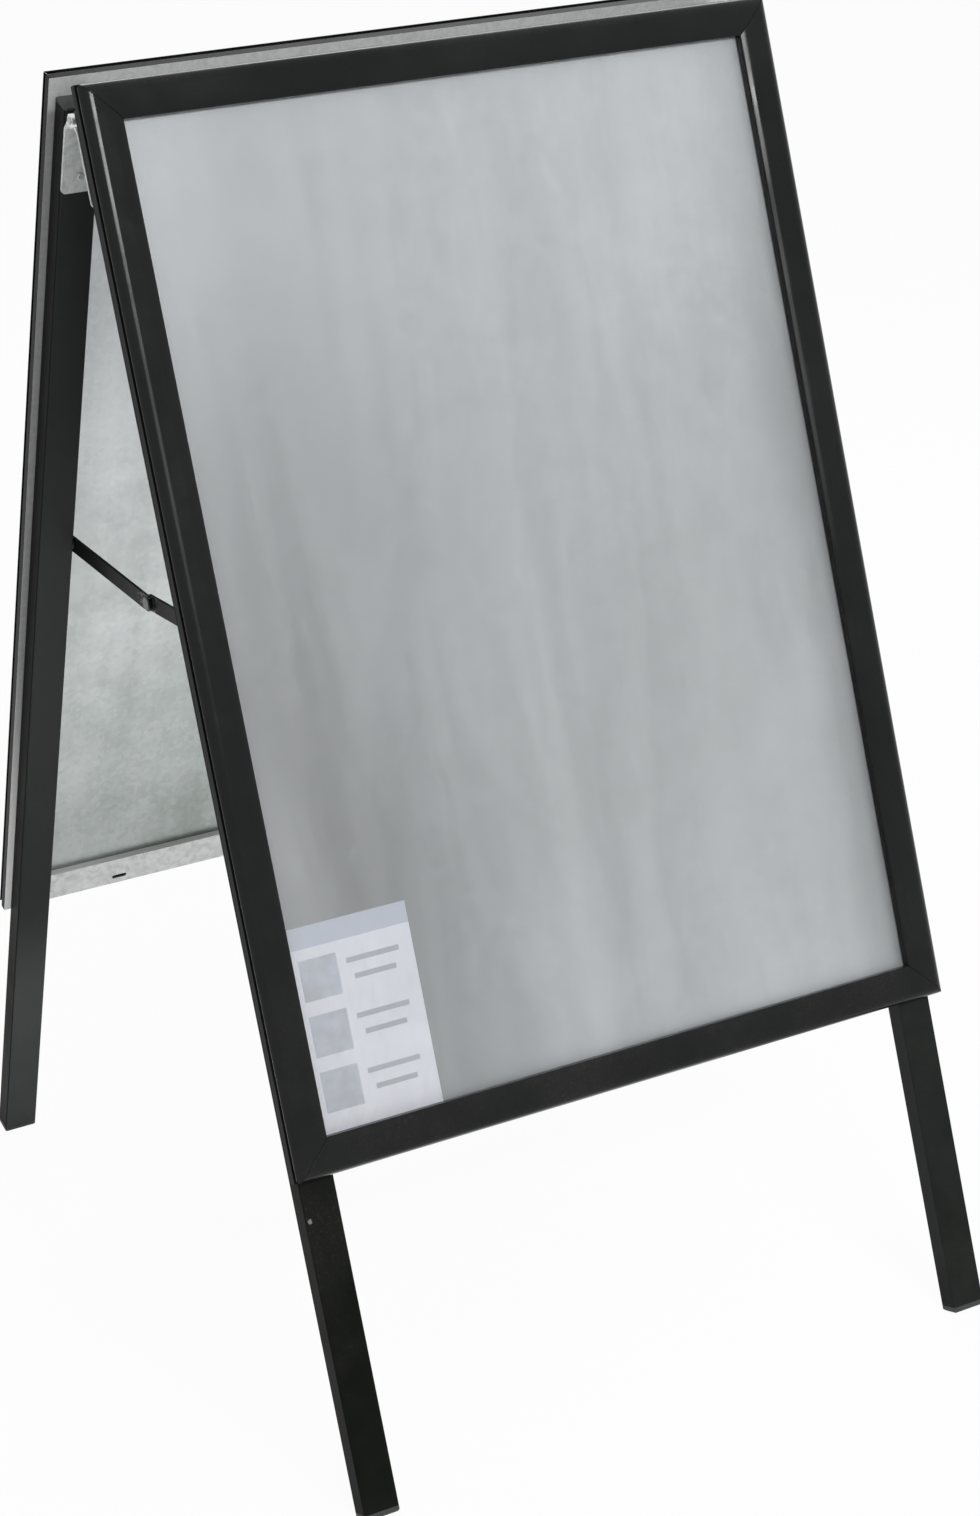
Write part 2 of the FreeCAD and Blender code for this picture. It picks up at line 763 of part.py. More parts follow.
def make_frame_rivets(panel):
    body = new_body(f"{panel}_frame_rivets")
    centres = [(rivet_column * sign, frame_centre + row) for sign in (-1, 1) for row in rivet_rows]
    rivet_group(body, centres, leg_front + dim.base_web, dim.base_web + dim.leg_wall, outward=True)
    keep(body, panel_placement(panel))


def make_hinge_rivets(panel):
    body = new_body(f"{panel}_hinge_rivets")
    centres = [(leg_centre * sign, -drop) for sign in (-1, 1) for drop in hinge_rivet_rows]
    seat = hinge_offset - dim.leaf_thickness
    rivet_group(body, centres, seat, dim.leaf_thickness + dim.leg_wall, outward=False)
    keep(body, panel_placement(panel))


# Hinges

def make_hinge_leaf(panel, side):
    """A cranked leaf on the leg's inner face: the front one has the middle knuckle, the rear one two."""
    body = new_body(f"hinge_{side}_{panel}_leaf")
    middle = leg_centre * local_sign(panel, side)
    plate = draw(body, "plate", "YZ_Plane", middle)
    outline(plate, [
        Stop(-hinge_offset, -dim.leaf_length),
        Stop(-hinge_offset + dim.leaf_thickness, -dim.leaf_length),
        Stop(-hinge_offset + dim.leaf_thickness, -dim.crank_drop),
        Stop(-knuckle_radius + dim.leaf_thickness, -dim.crank_top),
        Stop(-knuckle_radius + dim.leaf_thickness, 0),
        Stop(-knuckle_radius, 0),
        Stop(-knuckle_radius, -dim.crank_top),
        Stop(-hinge_offset, -dim.crank_drop),
    ])
    slab = pad(body, plate, dim.leg_width, symmetric=True)
    lowest = -dim.leaf_length.number
    soften(body, slab, "Fillet", "Radius", dim.leaf_corner,
           lambda edge: edge.BoundBox.XLength < HAIR and abs(edge.BoundBox.ZMax - lowest) < HAIR)
    roll = draw(body, "roll", "YZ_Plane", middle)
    circle(roll, 0, 0, knuckle_radius)
    pad(body, roll, dim.leg_width, symmetric=True)
    bore = draw(body, "bore", "YZ_Plane", middle)
    circle(bore, 0, 0, dim.pin_radius + dim.pin_clearance)
    pocket(body, bore)
    notches = draw(body, "notches", "XZ_Plane")
    clear = knuckle_radius + dim.knuckle_gap
    half = dim.knuckle_length / 2
    edge = dim.leg_width / 2 + dim.knuckle_gap
    if panel == "front":
        rectangle(notches, middle - edge, -clear, middle - half, clear)
        rectangle(notches, middle + half, -clear, middle + edge, clear)
    else:
        wide = half + dim.knuckle_gap
        rectangle(notches, middle - wide, -clear, middle + wide, clear)
    pocket(body, notches)
    holes = draw(body, "rivet_holes", "XZ_Plane")
    for drop in hinge_rivet_rows:
        circle(holes, middle, -drop, dim.rivet_radius)
    pocket(body, holes)
    keep(body, panel_placement(panel))


def make_hinge_pin(side):
    body = new_body(f"hinge_{side}_pin")
    sketch = draw(body, "section", "YZ_Plane", leg_centre * SIDE_SIGN[side])
    circle(sketch, 0, 0, dim.pin_radius)
    rod = pad(body, sketch, dim.leg_width + dim.pin_overhang * 2, symmetric=True)
    soften(body, rod, "Chamfer", "Size", dim.pin_chamfer, lambda edge: edge.BoundBox.XLength < HAIR)
    keep(body, FreeCAD.Placement(FreeCAD.Vector(0, 0, pin_height.number), NO_TURN))


# Folding stays

def make_stay_rivets(panel):
    """Shouldered rivets through the legs' inner side walls, one for each stay."""
    body = new_body(f"{panel}_stay_rivets")
    far = link_start[panel] + dim.link_thickness + dim.lap_gap
    steps = {
        "tail": (-dim.leg_wall - dim.rivet_tail, dim.rivet_tail, dim.stay_shoulder_radius),
        "shank": (-dim.leg_wall, dim.leg_wall + far, dim.stay_pin_radius),
        "shoulder": (ZERO, link_start[panel] - dim.lap_gap, dim.stay_shoulder_radius),
        "head": (far, dim.stay_head, dim.stay_head_radius),
    }
    for sign in (-1, 1):
        for name, (start, length, radius) in steps.items():
            sketch = draw(body, f"{name}{sign + 1}", "YZ_Plane", (leg_inside - start) * sign)
            circle(sketch, -leg_middle, -dim.stay_drop, radius)
            pad(body, sketch, length, reverse=sign > 0)
    keep(body, panel_placement(panel))


def link_placement(panel, side):
    """Links are drawn flat with X from the leg pivot to the knuckle and Z inboard from the leg."""
    inboard = FreeCAD.Vector(-SIDE_SIGN[side], 0, 0)
    pivot_y = -half_span.number * PANEL_SIGN[panel]
    across = (leg_inside - link_start[panel]).number * SIDE_SIGN[side]
    pivot = FreeCAD.Vector(across, pivot_y, pivot_level.number)
    along = FreeCAD.Vector(0, -pivot_y, -dim.stay_sag.number)
    return FreeCAD.Placement(pivot, FreeCAD.Rotation(along, ORIGIN, inboard, "XZY"))


def make_stay_link(panel, side):
    body = new_body(f"stay_{side}_{panel}_link")
    sketch = draw(body, "bar", "XY_Plane")
    slot(sketch, ZERO, link_length, ZERO, dim.link_width / 2)
    circle(sketch, 0, 0, dim.stay_pin_radius + dim.stay_pin_clearance)
    circle(sketch, link_length, 0, dim.stay_pin_radius)
    pad(body, sketch, dim.link_thickness)
    keep(body, link_placement(panel, side))


def make_knuckle(panel, side):
    """Half of the rivet at the stay's knuckle, split where the two links lap."""
    body = new_body(f"stay_{side}_{panel}_knuckle")
    inner = panel == "front"
    shank = draw(body, "shank", "XY_Plane")
    circle(shank, link_length, 0, dim.stay_pin_radius)
    pad(body, shank, dim.link_thickness)
    head = draw(body, "head", "XY_Plane", dim.link_thickness if inner else ZERO)
    circle(head, link_length, 0, dim.stay_head_radius)
    pad(body, head, dim.stay_head, reverse=not inner)
    keep(body, link_placement(panel, side))


for panel in PANEL_TURN:
    for side in SIDE_SIGN:
        make_leg(panel, side)
        make_foot(panel, side)
        make_leg_cap(panel, side)
        make_hinge_leaf(panel, side)
        make_stay_link(panel, side)
        make_knuckle(panel, side)
    for rail in RAIL_TURN:
        make_base_rail(panel, rail)
        make_cover(panel, rail)
    make_corner_keys(panel)
    make_cover_springs(panel)
    make_sheets(panel)
    make_frame_rivets(panel)
    make_hinge_rivets(panel)
    make_stay_rivets(panel)
for side in SIDE_SIGN:
    make_hinge_pin(side)
make_leaflet()
doc.recompute()

# Nothing is written unless the whole document is sound
for item in doc.Objects:
    if "Invalid" in item.State or "Error" in item.State:
        raise ValueError(f"{item.Label} failed: {item.State}")
for label, item in pieces.items():
    if item.Shape.isNull() or not item.Shape.isValid() or not item.Shape.Solids:
        raise ValueError(f"{label} has no sound solid")

os.makedirs("parts", exist_ok=True)
for label, item in pieces.items():
    item.Shape.exportStep(f"parts/{label}.step")
    print(label, len(item.Shape.Solids), "solids", round(item.Shape.Volume, 1), "mm3")
print(len(pieces), "sub-parts")
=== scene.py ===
"""Dresses the pavement poster stand: finishes for each piece, and a pale studio stage with the camera."""
import json
import math
import bpy
from bpy.props import FloatProperty, FloatVectorProperty, PointerProperty
from mathutils import Matrix, Vector


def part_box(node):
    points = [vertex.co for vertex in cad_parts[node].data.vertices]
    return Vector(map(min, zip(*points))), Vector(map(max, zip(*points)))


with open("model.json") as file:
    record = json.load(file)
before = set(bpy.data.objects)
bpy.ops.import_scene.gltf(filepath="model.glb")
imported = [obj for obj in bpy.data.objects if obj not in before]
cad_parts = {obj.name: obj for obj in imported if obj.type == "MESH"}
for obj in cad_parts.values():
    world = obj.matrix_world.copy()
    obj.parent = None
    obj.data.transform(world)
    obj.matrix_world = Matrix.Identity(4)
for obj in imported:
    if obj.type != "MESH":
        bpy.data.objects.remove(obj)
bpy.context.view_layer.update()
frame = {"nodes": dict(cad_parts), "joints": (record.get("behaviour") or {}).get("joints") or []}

bl_info = {
    "name": "Pavement poster stand",
    "version": (1, 0, 0),
    "blender": (4, 5, 0),
    "location": "View3D > Sidebar > Poster Stand",
    "description": "Finishes and stage for a folding poster stand with two snap frames",
    "category": "Object",
}

PANELS = ("front", "rear")
SIDES = ("left", "right")
RAILS = ("bottom", "right", "top", "left")
MM = 0.001
# The photograph's frame, which the lens was measured in
PHOTO_WIDTH = 980
PHOTO_HEIGHT = 1516
SENSOR_WIDTH = 36.0

fold_joint = next(joint for joint in frame["joints"] if joint["name"] == "fold")
HINGE = Vector(fold_joint["pos_m"])
LEAN = math.radians(fold_joint["range_deg"][1]) / 2
# Panels are measured from the hinge pin, upright: the front one leans one way and the rear one the other
PANEL_LEAN = {"front": LEAN, "rear": -LEAN}
# Outline of a snap frame in that space
FRAME_HALF_WIDTH = 0.319
FRAME_HALF_HEIGHT = 0.4425
FRAME_TOP = 0.022
FRAME_MIDDLE = FRAME_TOP - FRAME_HALF_HEIGHT
# Where the links of the stays lap, and the leaflet's upper left corner
knuckle_low, knuckle_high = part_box("stay_left_front_knuckle")
STAY_LAP_HEIGHT = (knuckle_low.z + knuckle_high.z) / 2
leaflet_low, leaflet_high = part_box("front_leaflet")
leaflet_corner = Vector((leaflet_low.x, leaflet_high.y, leaflet_high.z)) - HINGE
LEAFLET_LEFT = leaflet_corner.x
LEAFLET_TOP = (Matrix.Rotation(LEAN, 3, "X") @ leaflet_corner).z

# Specular levels; the front covers are wiped more often than the rear ones
COAT_GLOSS = {"front": 0.17, "rear": 0.1}
LEG_GLOSS = 0.02
STAY_GLOSS = 0.05
RAIL_GLOSS = 0.03
PLASTIC_GLOSS = 0.25
ZINC_GLOSS = 0.3
# The bare backs of the rails, and the plastic of the feet and caps
RAIL_ROUGHNESS = 0.38
RAIL_GRAIN = (70.0, 70.0, 70.0)
PLASTIC_ROUGHNESS = 0.55
PLASTIC_SCUFF = 0.6
# Factor and lift that make the light tone of a finish from its dark one
COAT_LIGHT = (1.7, 0.002)
PLASTIC_LIGHT = (1.8, 0.006)
# Metals: colour setting, roughness, fineness of the grain along each axis, and how metallic they look
METALS = {
    "Zinc plated hinge": ("hinge", 0.40, (700.0, 60.0, 60.0), 0.6),
    "Bright rivets": ("steel", 0.28, (300.0, 300.0, 300.0), 0.85),
    "Dull stay rivets": ("stay_rivet", 0.45, (300.0, 300.0, 300.0), 0.5),
    "Spring steel": ("steel", 0.30, (80.0, 900.0, 900.0), 0.85),
    "Plated corner keys": ("hinge", 0.42, (400.0, 400.0, 400.0), 0.85),
}

# How far a face has to turn to the other panel to count as its back: from, to
RAIL_FACES_IN = (0.35, 0.75)
LEG_FACES_IN = (0.5, 0.9)

# Where finishes change, in metres in a panel's own space: from, to, and the shares there if not 0 and 1
# Painted reflection on the sides of the rear legs that face the other panel: lighter towards the foot
LEG_REFLECTION = (-0.27, -0.47, 0.30, 0.52)
LEG_REFLECTION_EASES = (-0.55, -0.82, 0.0, 0.18)
LEG_REFLECTION_FOOT = (-0.83, -0.98, 0.0, 0.5)
RAIL_COAT_EDGE = (2.0 * MM, 2.4 * MM)
RAIL_NEAR_SIDE = (36 * MM, 30 * MM)
RAIL_PAST_CORNER = (26 * MM, 34 * MM)
RAIL_LEDGE_WALL = (27.5 * MM, 29 * MM)
RAIL_GROUND_GRIME = (-0.60, -0.84, 0.0, 0.35)
# Painted light: paler low on the stiles
RAIL_LOW_PALE_LIGHT = (-0.52, -0.84, 0.0, 0.85)
# Painted shade on the sheets: darker towards the left and the lower left corner, in a band at mid height,
# beside the right stile, and lower down
SHEET_FOOT = (-0.05, -0.65)
SHEET_LEFT_SHADE = (0.22, -0.18, 0.0, 0.6)
SHEET_LEFT_TOP = (0.0, -0.24, 0.8, 1.0)
SHEET_MIDDLE_SHADE = (-0.15, -0.36, 0.0, 0.17)
SHEET_MIDDLE_END = (-0.82, -0.60)
SHEET_CORNER_SHADE = (0.04, -0.28, 0.0, 0.6)
SHEET_RIM_SHADE = (0.235, 0.289, 0.0, 0.58)
SHEET_RIM_TOP = (0.0, -0.35, 0.4, 1.0)
SHEET_FOOT_SHADE = (-0.82, -0.62, 0.1, 0.3)
SHEET_SHADED_FOOT = (-0.14, -0.80)
# Share of painted shade on the rails beside the legs, for the legs' shadow
LEG_SHADE = 0.5
# Chip on the outer edge of the front left leg, and its share of bare steel
CHIP_PLACE = (-0.3095, -0.0307, -0.8975)
CHIP_SIZE = 1.9 * MM
CHIP_SHARE = 0.45
# Patches rubbed bare where the stays' links lap, and bright along the hinge line
LAP_SIZE = 13 * MM
HINGE_LINE_SIZE = 7 * MM
# Axes that a patch is measured on: all round a point, or running on along X
ROUND = (1, 1, 1)
ALONG_X = (0, 1, 1)

# Print on the leaflet, in metres
BAND_WIDTH, BAND_HEIGHT = 0.118, 0.018
PRINT_ROWS = 3
ROW_DROP, ROW_PITCH = 0.044, 0.046
SQUARE_ACROSS, SQUARE_SIDE = 0.032, 0.034
BARS_PER_ROW = 2
BAR_ACROSS, BAR_RISE, BAR_PITCH = 0.081, 0.008, 0.014
BAR_WIDTH, BAR_HEIGHT, BAR_SHORTER = 0.048, 0.0044, 0.010

# Softboxes: place, point that they face, width and height, and the setting with their brightness
SOFTBOXES = {
    "front softbox": ((-0.35, -3.6, 2.8), (0.0, 0.0, 0.9), (1.9, 0.36), "front_light"),
    "front softbox foot": ((-0.35, -3.75, 2.25), (0.0, 0.0, 0.9), (1.9, 0.75), "front_fade"),
    "top softbox": ((1.2, 2.2, 3.0), (0.0, 0.0, 1.0), (2.0, 1.0), "top_light"),
    "floor panel": ((0.0, -0.05, 0.004), (0.0, -0.05, 1.0), (0.5, 0.6), "low_light"),
}


def srgb(red, green, blue):
    """Turns a colour as it is seen on a screen, 0 to 255, into a linear one."""
    linear = []
    for value in (red, green, blue):
        share = value / 255
        linear.append(share / 12.92 if share <= 0.04045 else ((share + 0.055) / 1.055) ** 2.4)
    return tuple(linear)


# Settings

def colour_property(name, description, default):
    return FloatVectorProperty(name=name, description=description, default=default, subtype="COLOR",
                               size=3, min=0.0, max=1.0)


def share_property(name, description, default):
    return FloatProperty(name=name, description=description, default=default, min=0.0, max=1.0,
                         subtype="FACTOR")


def level_property(name, description, default):
    return FloatProperty(name=name, description=description, default=default, min=0.0)


def length_property(name, description, default):
    return FloatProperty(name=name, description=description, default=default, min=0.0, subtype="DISTANCE",
                         unit="LENGTH")


def angle_property(name, description, degrees):
    return FloatProperty(name=name, description=description, default=math.radians(degrees), subtype="ANGLE",
                         unit="ROTATION")


class StandColours(bpy.types.PropertyGroup):
    """Colours of the stand's finishes."""

    coat: colour_property("Frame coat", "Black satin coat of the snap frames", srgb(9, 11, 11))
    paint: colour_property("Leg paint", "Black paint of the left legs", srgb(14, 16, 14))
    # Painted light: a lighter paint for the right legs, standing in for the light that falls on them
    paint_right_lit: colour_property("Greyed leg paint", "Paint of the right legs, greyed by daylight",
                                srgb(28, 30, 29))
    # Painted reflection: a lighter paint on the inner sides of the rear legs, for the floor that they
    # reflect
    painted_reflection: colour_property("Faded paint", "Greyed paint on the inner sides of the rear legs",
                           srgb(77, 80, 80))
    stay: colour_property("Stay paint", "Black paint of the folding stays", srgb(17, 20, 18))
    stay_rivet: colour_property("Stay rivets", "Dull metal of the stays' rivets", srgb(120, 125, 119))
    plastic: colour_property("Plug plastic", "Plastic of the feet and the caps", srgb(50, 52, 52))
    mill: colour_property("Bare rail", "Bare metal on the backs of the rails", srgb(216, 218, 217))
    # Painted light: a pale colour for the ledge walls, which lie in shade, and for the stiles low down
    pale_light: colour_property("Pale bloom", "Oxide and dust on the ledge walls and low on the base rails",
                           srgb(246, 247, 245))
    zinc_light: colour_property("Front sheet, light", "Light patches of the front sheet",
                                srgb(177, 181, 184))
    zinc_dark: colour_property("Front sheet, dark", "Dark patches of the front sheet", srgb(156, 160, 161))
    # Painted shade: the dark colour of the shade painted on the front sheet's sides
    zinc_side_shade: colour_property("Front sheet, stains", "Dull side of the front sheet", srgb(112, 114, 115))
    # Painted light: the rear sheet is the same zinc as the front one, coloured much lighter to make up for
    # the shade between the panels
    rear_light: colour_property("Rear sheet, light", "Light patches of the rear sheet", srgb(240, 243, 245))
    rear_dark: colour_property("Rear sheet, dark", "Dark patches of the rear sheet", srgb(205, 210, 210))
    # Painted shade: the dark colour of the shade painted towards the rear sheet's foot
    rear_foot_shade: colour_property("Rear sheet, stains", "Dull foot of the rear sheet", srgb(116, 122, 118))
    hinge: colour_property("Hinge", "Zinc plating of the hinges", srgb(216, 220, 218))
    knuckle: colour_property("Hinge knuckle", "Plating rubbed bright around the hinge pins",
                             srgb(250, 251, 250))
    steel: colour_property("Rivets and springs", "Bright steel", srgb(186, 188, 188))
    dust: colour_property("Dust", "Dust that settles on the black finishes", srgb(122, 120, 112))
    bare_steel: colour_property("Bare steel", "Metal that shows where paint is rubbed off",
                                srgb(168, 170, 168))
    veil_dark: colour_property("Clear sheets, dark", "Dark streaks on the clear sheets", (0.66, 0.69, 0.72))
    veil_light: colour_property("Clear sheets, light", "Light streaks on the clear sheets",
                                (0.80, 0.82, 0.83))
    card: colour_property("Leaflet card", "Card of the leaflet", srgb(212, 214, 221))
    band: colour_property("Leaflet band", "Band along the top of the leaflet", srgb(176, 182, 194))
    ink: colour_property("Leaflet ink", "Grey blocks on the leaflet", srgb(164, 167, 172))


class StandFinish(bpy.types.PropertyGroup):
    """How worn and how smooth the finishes are."""

    coat_roughness: share_property("Coat roughness", "Roughness of the black frame coat", 0.13)
    paint_roughness: share_property("Paint roughness", "Roughness of the black leg paint", 0.36)
    edge_wear: share_property("Edge wear", "How far paint is rubbed off along the edges", 0.35)
    dust_cover: share_property("Dust", "How much dust lies on the black finishes", 0.14)
    sheet_haze: share_property("Sheet haze", "How milky the clear sheets are", 0.12)
    cover_edge: length_property("Cover edge", "Width over which the covers' lips are rounded in the light",
                                0.8 * MM)
    soft_edge: length_property("Soft edge", "Width over which sharp edges are rounded in the light",
                               0.4 * MM)


class StageSettings(bpy.types.PropertyGroup):
    """The floor, the light and the camera."""

    floor: colour_property("Floor", "Colour of the floor", (0.93, 0.93, 0.93))
    floor_size: length_property("Floor size", "Side of the square floor", 60.0)
    floor_glow: share_property("Floor white",
                               "How much of the floor's white is seen and reflected without light", 0.95)
    ambient: level_property("Ambient light", "Brightness of the light from all round", 0.38)
    sky_strength: level_property("Sky light", "Strength of the wide soft light from above", 0.25)
    front_light: level_property("Front softbox", "Brightness of the narrow softbox in front", 40.0)
    front_fade: level_property("Front softbox, foot", "Brightness of the front softbox's dim foot", 3.0)
    top_light: level_property("Top softbox", "Brightness of the softbox above and behind", 5.0)
    low_light: level_property("Floor panel", "Brightness of the light panel under the stand", 0.8)
    sky_angle: angle_property("Sky width", "Angle that the soft light fills", 75)
    sky_turn: FloatVectorProperty(name="Sky direction", description="Turn of the soft light", size=3,
                                  subtype="EULER", default=(math.radians(28), math.radians(-18), 0.0))
    eye: FloatVectorProperty(name="Camera", description="Place of the camera", size=3, subtype="XYZ",
                             unit="LENGTH", default=(-1.283772, -2.421232, 1.593689))
    yaw: angle_property("Camera yaw", "Turn of the camera about the vertical", -28.782)
    pitch: angle_property("Camera pitch", "How far the camera looks down", 22.358)
    roll: angle_property("Camera roll", "Turn of the camera about its own axis", -1.836)
    focal_pixels: level_property("Focal length", "Focal length in pixels of the photograph", 3284.453)


# Node helpers

def add(tree, kind, inputs=None, **settings):
    """Adds a node, sets its properties, and sets or links its inputs by name or number."""
    node = tree.nodes.new(f"ShaderNode{kind}")
    for name, value in settings.items():
        setattr(node, name, value)
    for name, value in (inputs or {}).items():
        feed(tree, node.inputs[name], value)
    return node


def feed(tree, socket, value):
    if isinstance(value, bpy.types.NodeSocket):
        tree.links.new(value, socket)
    else:
        socket.default_value = value


def calc(tree, operation, first, second=0.0):
    return add(tree, "Math", {0: first, 1: second}, operation=operation).outputs[0]


def product(tree, first, *others):
    for other in others:
        first = calc(tree, "MULTIPLY", first, other)
    return first


def total(tree, first, *others):
    for other in others:
        first = calc(tree, "ADD", first, other)
    return first


def largest(tree, first, second):
    return calc(tree, "MAXIMUM", first, second)


def smooth(tree, value, low, high, bottom=0.0, top=1.0, kind="SMOOTHSTEP"):
    """Rises smoothly from bottom to top while the value goes from low to high."""
    inputs = {"Value": value, "From Min": low, "From Max": high, "To Min": bottom, "To Max": top}
    return add(tree, "MapRange", inputs, interpolation_type=kind).outputs[0]


def blend(tree, share, first, second):
    """Mixes two colours."""
    return add(tree, "Mix", {0: share, 6: first, 7: second}, data_type="RGBA").outputs[2]


def noise(tree, place, scale, detail=3.0, roughness=0.55, distortion=0.0):
    inputs = {"Vector": place, "Scale": scale, "Detail": detail, "Roughness": roughness,
              "Distortion": distortion}
    return add(tree, "TexNoise", inputs).outputs[0]


def stretched(tree, place, scale):
    return add(tree, "VectorMath", {0: place, 1: scale}, operation="MULTIPLY").outputs[0]


def offset_from(tree, place, middle):
    return add(tree, "VectorMath", {0: place, 1: middle}, operation="SUBTRACT").outputs[0]


def turned(tree, arrow, angle):
    """Turns a vector about X."""
    inputs = {"Vector": arrow, "Angle": angle}
    return add(tree, "VectorRotate", inputs, rotation_type="X_AXIS").outputs[0]


def along_axes(tree, place):
    """Splits a place into its X, Y and Z."""
    return add(tree, "SeparateXYZ", {0: place}).outputs


def solid(colour, factor=1.0, lift=0.0):
    """A colour for a socket, lightened or darkened by a factor and a lift."""
    return (*(part * factor + lift for part in colour), 1.0)


def toned(tree, share, colour, factor, lift=0.0):
    """Goes from a colour to a lighter or darker tone of it."""
    return blend(tree, share, solid(colour), solid(colour, factor, lift))


def new_group(name, inputs, outputs):
    """Starts a node group with named sockets; gives its tree, its inputs and its outputs."""
    tree = bpy.data.node_groups.new(name, "ShaderNodeTree")
    for socket, kind, default in inputs:
        item = tree.interface.new_socket(socket, in_out="INPUT", socket_type=f"NodeSocket{kind}")
        item.default_value = default
    for socket, kind in outputs:
        tree.interface.new_socket(socket, in_out="OUTPUT", socket_type=f"NodeSocket{kind}")
    entry = tree.nodes.new("NodeGroupInput")
    leave = tree.nodes.new("NodeGroupOutput")
    return tree, entry.outputs, leave.inputs


def use(tree, name, **inputs):
    """Places a node group in a material, with values or links for its inputs; gives its outputs."""
    node = tree.nodes.new("ShaderNodeGroup")
    node.node_tree = bpy.data.node_groups[name]
    for socket, value in inputs.items():
        feed(tree, node.inputs[socket.replace("_", " ")], value)
    return node.outputs


# Shared effects

def build_panel_space():
    """Place and facing of a surface in its own panel, stood upright with the hinge pin at the origin."""
    tree, given, made = new_group("Panel space", [("Lean", "Float", 0.0)],
                                  [("Place", "Vector"), ("Inward", "Float"), ("Upward", "Float")])
    source = add(tree, "TexCoord")
    from_hinge = offset_from(tree, source.outputs["Object"], HINGE)
    facing = turned(tree, source.outputs["Normal"], given["Lean"])
    rearward = along_axes(tree, facing)[1]
    feed(tree, made["Place"], turned(tree, from_hinge, given["Lean"]))
    feed(tree, made["Inward"], product(tree, rearward, calc(tree, "SIGN", given["Lean"])))
    feed(tree, made["Upward"], along_axes(tree, source.outputs["Normal"])[2])


def build_soft_edges():
    """Rounds sharp edges in the light, and masks them for wear."""
    tree, given, made = new_group("Soft edges", [("Width", "Float", 0.4 * MM)],
                                  [("Normal", "Vector"), ("Edge", "Float")])
    rounded = add(tree, "Bevel", {"Radius": given["Width"]}, samples=4)
    plain = add(tree, "NewGeometry")
    agree = add(tree, "VectorMath", {0: rounded.outputs[0], 1: plain.outputs["Normal"]},
                operation="DOT_PRODUCT")
    feed(tree, made["Normal"], rounded.outputs[0])
    feed(tree, made["Edge"], smooth(tree, agree.outputs["Value"], 0.98, 0.80))


def build_rubbed_paint():
    """Patches along the edges where paint is rubbed down to the metal."""
    tree, given, made = new_group("Rubbed paint", [("Place", "Vector", (0, 0, 0)), ("Edge", "Float", 0.0),
                                                   ("Amount", "Float", 0.3)], [("Bare", "Float")])
    patches = noise(tree, given["Place"], 38.0, 5.0, 0.65)
    threshold = calc(tree, "SUBTRACT", 0.80, product(tree, given["Amount"], 0.30))
    wear_and_reflection = smooth(tree, patches, threshold, total(tree, threshold, 0.06))
    feed(tree, made["Bare"], product(tree, wear_and_reflection, given["Edge"]))


def build_satin_coat():
    """Fine grain and soft clouds of a coated extrusion, with smears where hands touch it."""
    tree, given, made = new_group("Satin coat",
                                  [("Place", "Vector", (0, 0, 0)), ("Roughness", "Float", 0.35)],
                                  [("Tone", "Float"), ("Roughness", "Float"), ("Height", "Float")])
    grain = noise(tree, given["Place"], 2600.0, 2.0, 0.6)
    smears = noise(tree, given["Place"], 11.0, 5.0, 0.6, 0.4)
    cloud = noise(tree, given["Place"], 3.2, 3.0, 0.5)
    tone = total(tree, smooth(tree, smears, 0.30, 0.75, 0.0, 0.6), product(tree, cloud, 0.5))
    spread = smooth(tree, smears, 0.30, 0.72, -0.07, 0.10)
    feed(tree, made["Tone"], tone)
    feed(tree, made["Roughness"], total(tree, given["Roughness"], spread))
    feed(tree, made["Height"], grain)


def build_dust():
    """Dust in specks and drifts that lies on faces turned upward, and thicker near the ground."""
    tree, given, made = new_group("Dust", [("Place", "Vector", (0, 0, 0)), ("Upward", "Float", 0.0),
                                           ("Amount", "Float", 0.2)], [("Cover", "Float")])
    height = along_axes(tree, given["Place"])[2]
    low = smooth(tree, height, -0.40, -1.10, 0.0, 0.8)
    lying = smooth(tree, given["Upward"], 0.15, 0.95, 0.15, 1.0)
    specks = smooth(tree, noise(tree, given["Place"], 420.0, 4.0, 0.7), 0.52, 0.74, 0.25, 1.0)
    drifts = smooth(tree, noise(tree, given["Place"], 9.0, 4.0, 0.6), 0.32, 0.72)
    cover = product(tree, specks, drifts, total(tree, lying, low))
    feed(tree, made["Cover"], product(tree, cover, given["Amount"]))


def build_zinc_sheet():
    """Cloudy zinc: upright streaks from rolling, soft clouds and a fine crystal mottle."""
    tree, given, made = new_group("Zinc sheet", [("Place", "Vector", (0, 0, 0)), ("Mottle", "Float", 0.5)],
                                  [("Tone", "Float"), ("Roughness", "Float"), ("Height", "Float")])
    place = given["Place"]
    streaks = noise(tree, stretched(tree, place, (16.0, 1.0, 0.9)), 1.0, 4.0, 0.55, 0.3)
    threads = noise(tree, stretched(tree, place, (140.0, 1.0, 4.0)), 1.0, 3.0, 0.6)
    clouds = noise(tree, place, 4.5, 4.0, 0.55, 0.5)
    blots = noise(tree, place, 34.0, 5.0, 0.68, 0.8)
    crystals = add(tree, "TexVoronoi", {"Vector": place, "Scale": 210.0, "Randomness": 1.0})
    crystal = add(tree, "SeparateColor", {0: crystals.outputs["Color"]}).outputs[0]
    broad = total(tree, product(tree, streaks, 0.35), product(tree, clouds, 0.65))
    fine = total(tree, product(tree, blots, 0.75), product(tree, crystal, 0.25))
    speckle = product(tree, calc(tree, "SUBTRACT", fine, 0.48), given["Mottle"])
    thread = product(tree, calc(tree, "SUBTRACT", threads, 0.5), 0.16)
    feed(tree, made["Tone"], total(tree, smooth(tree, broad, 0.25, 0.75), speckle, thread))
    feed(tree, made["Roughness"], smooth(tree, blots, 0.30, 0.70, 0.34, 0.46))
    feed(tree, made["Height"], total(tree, product(tree, crystal, 0.4), blots))


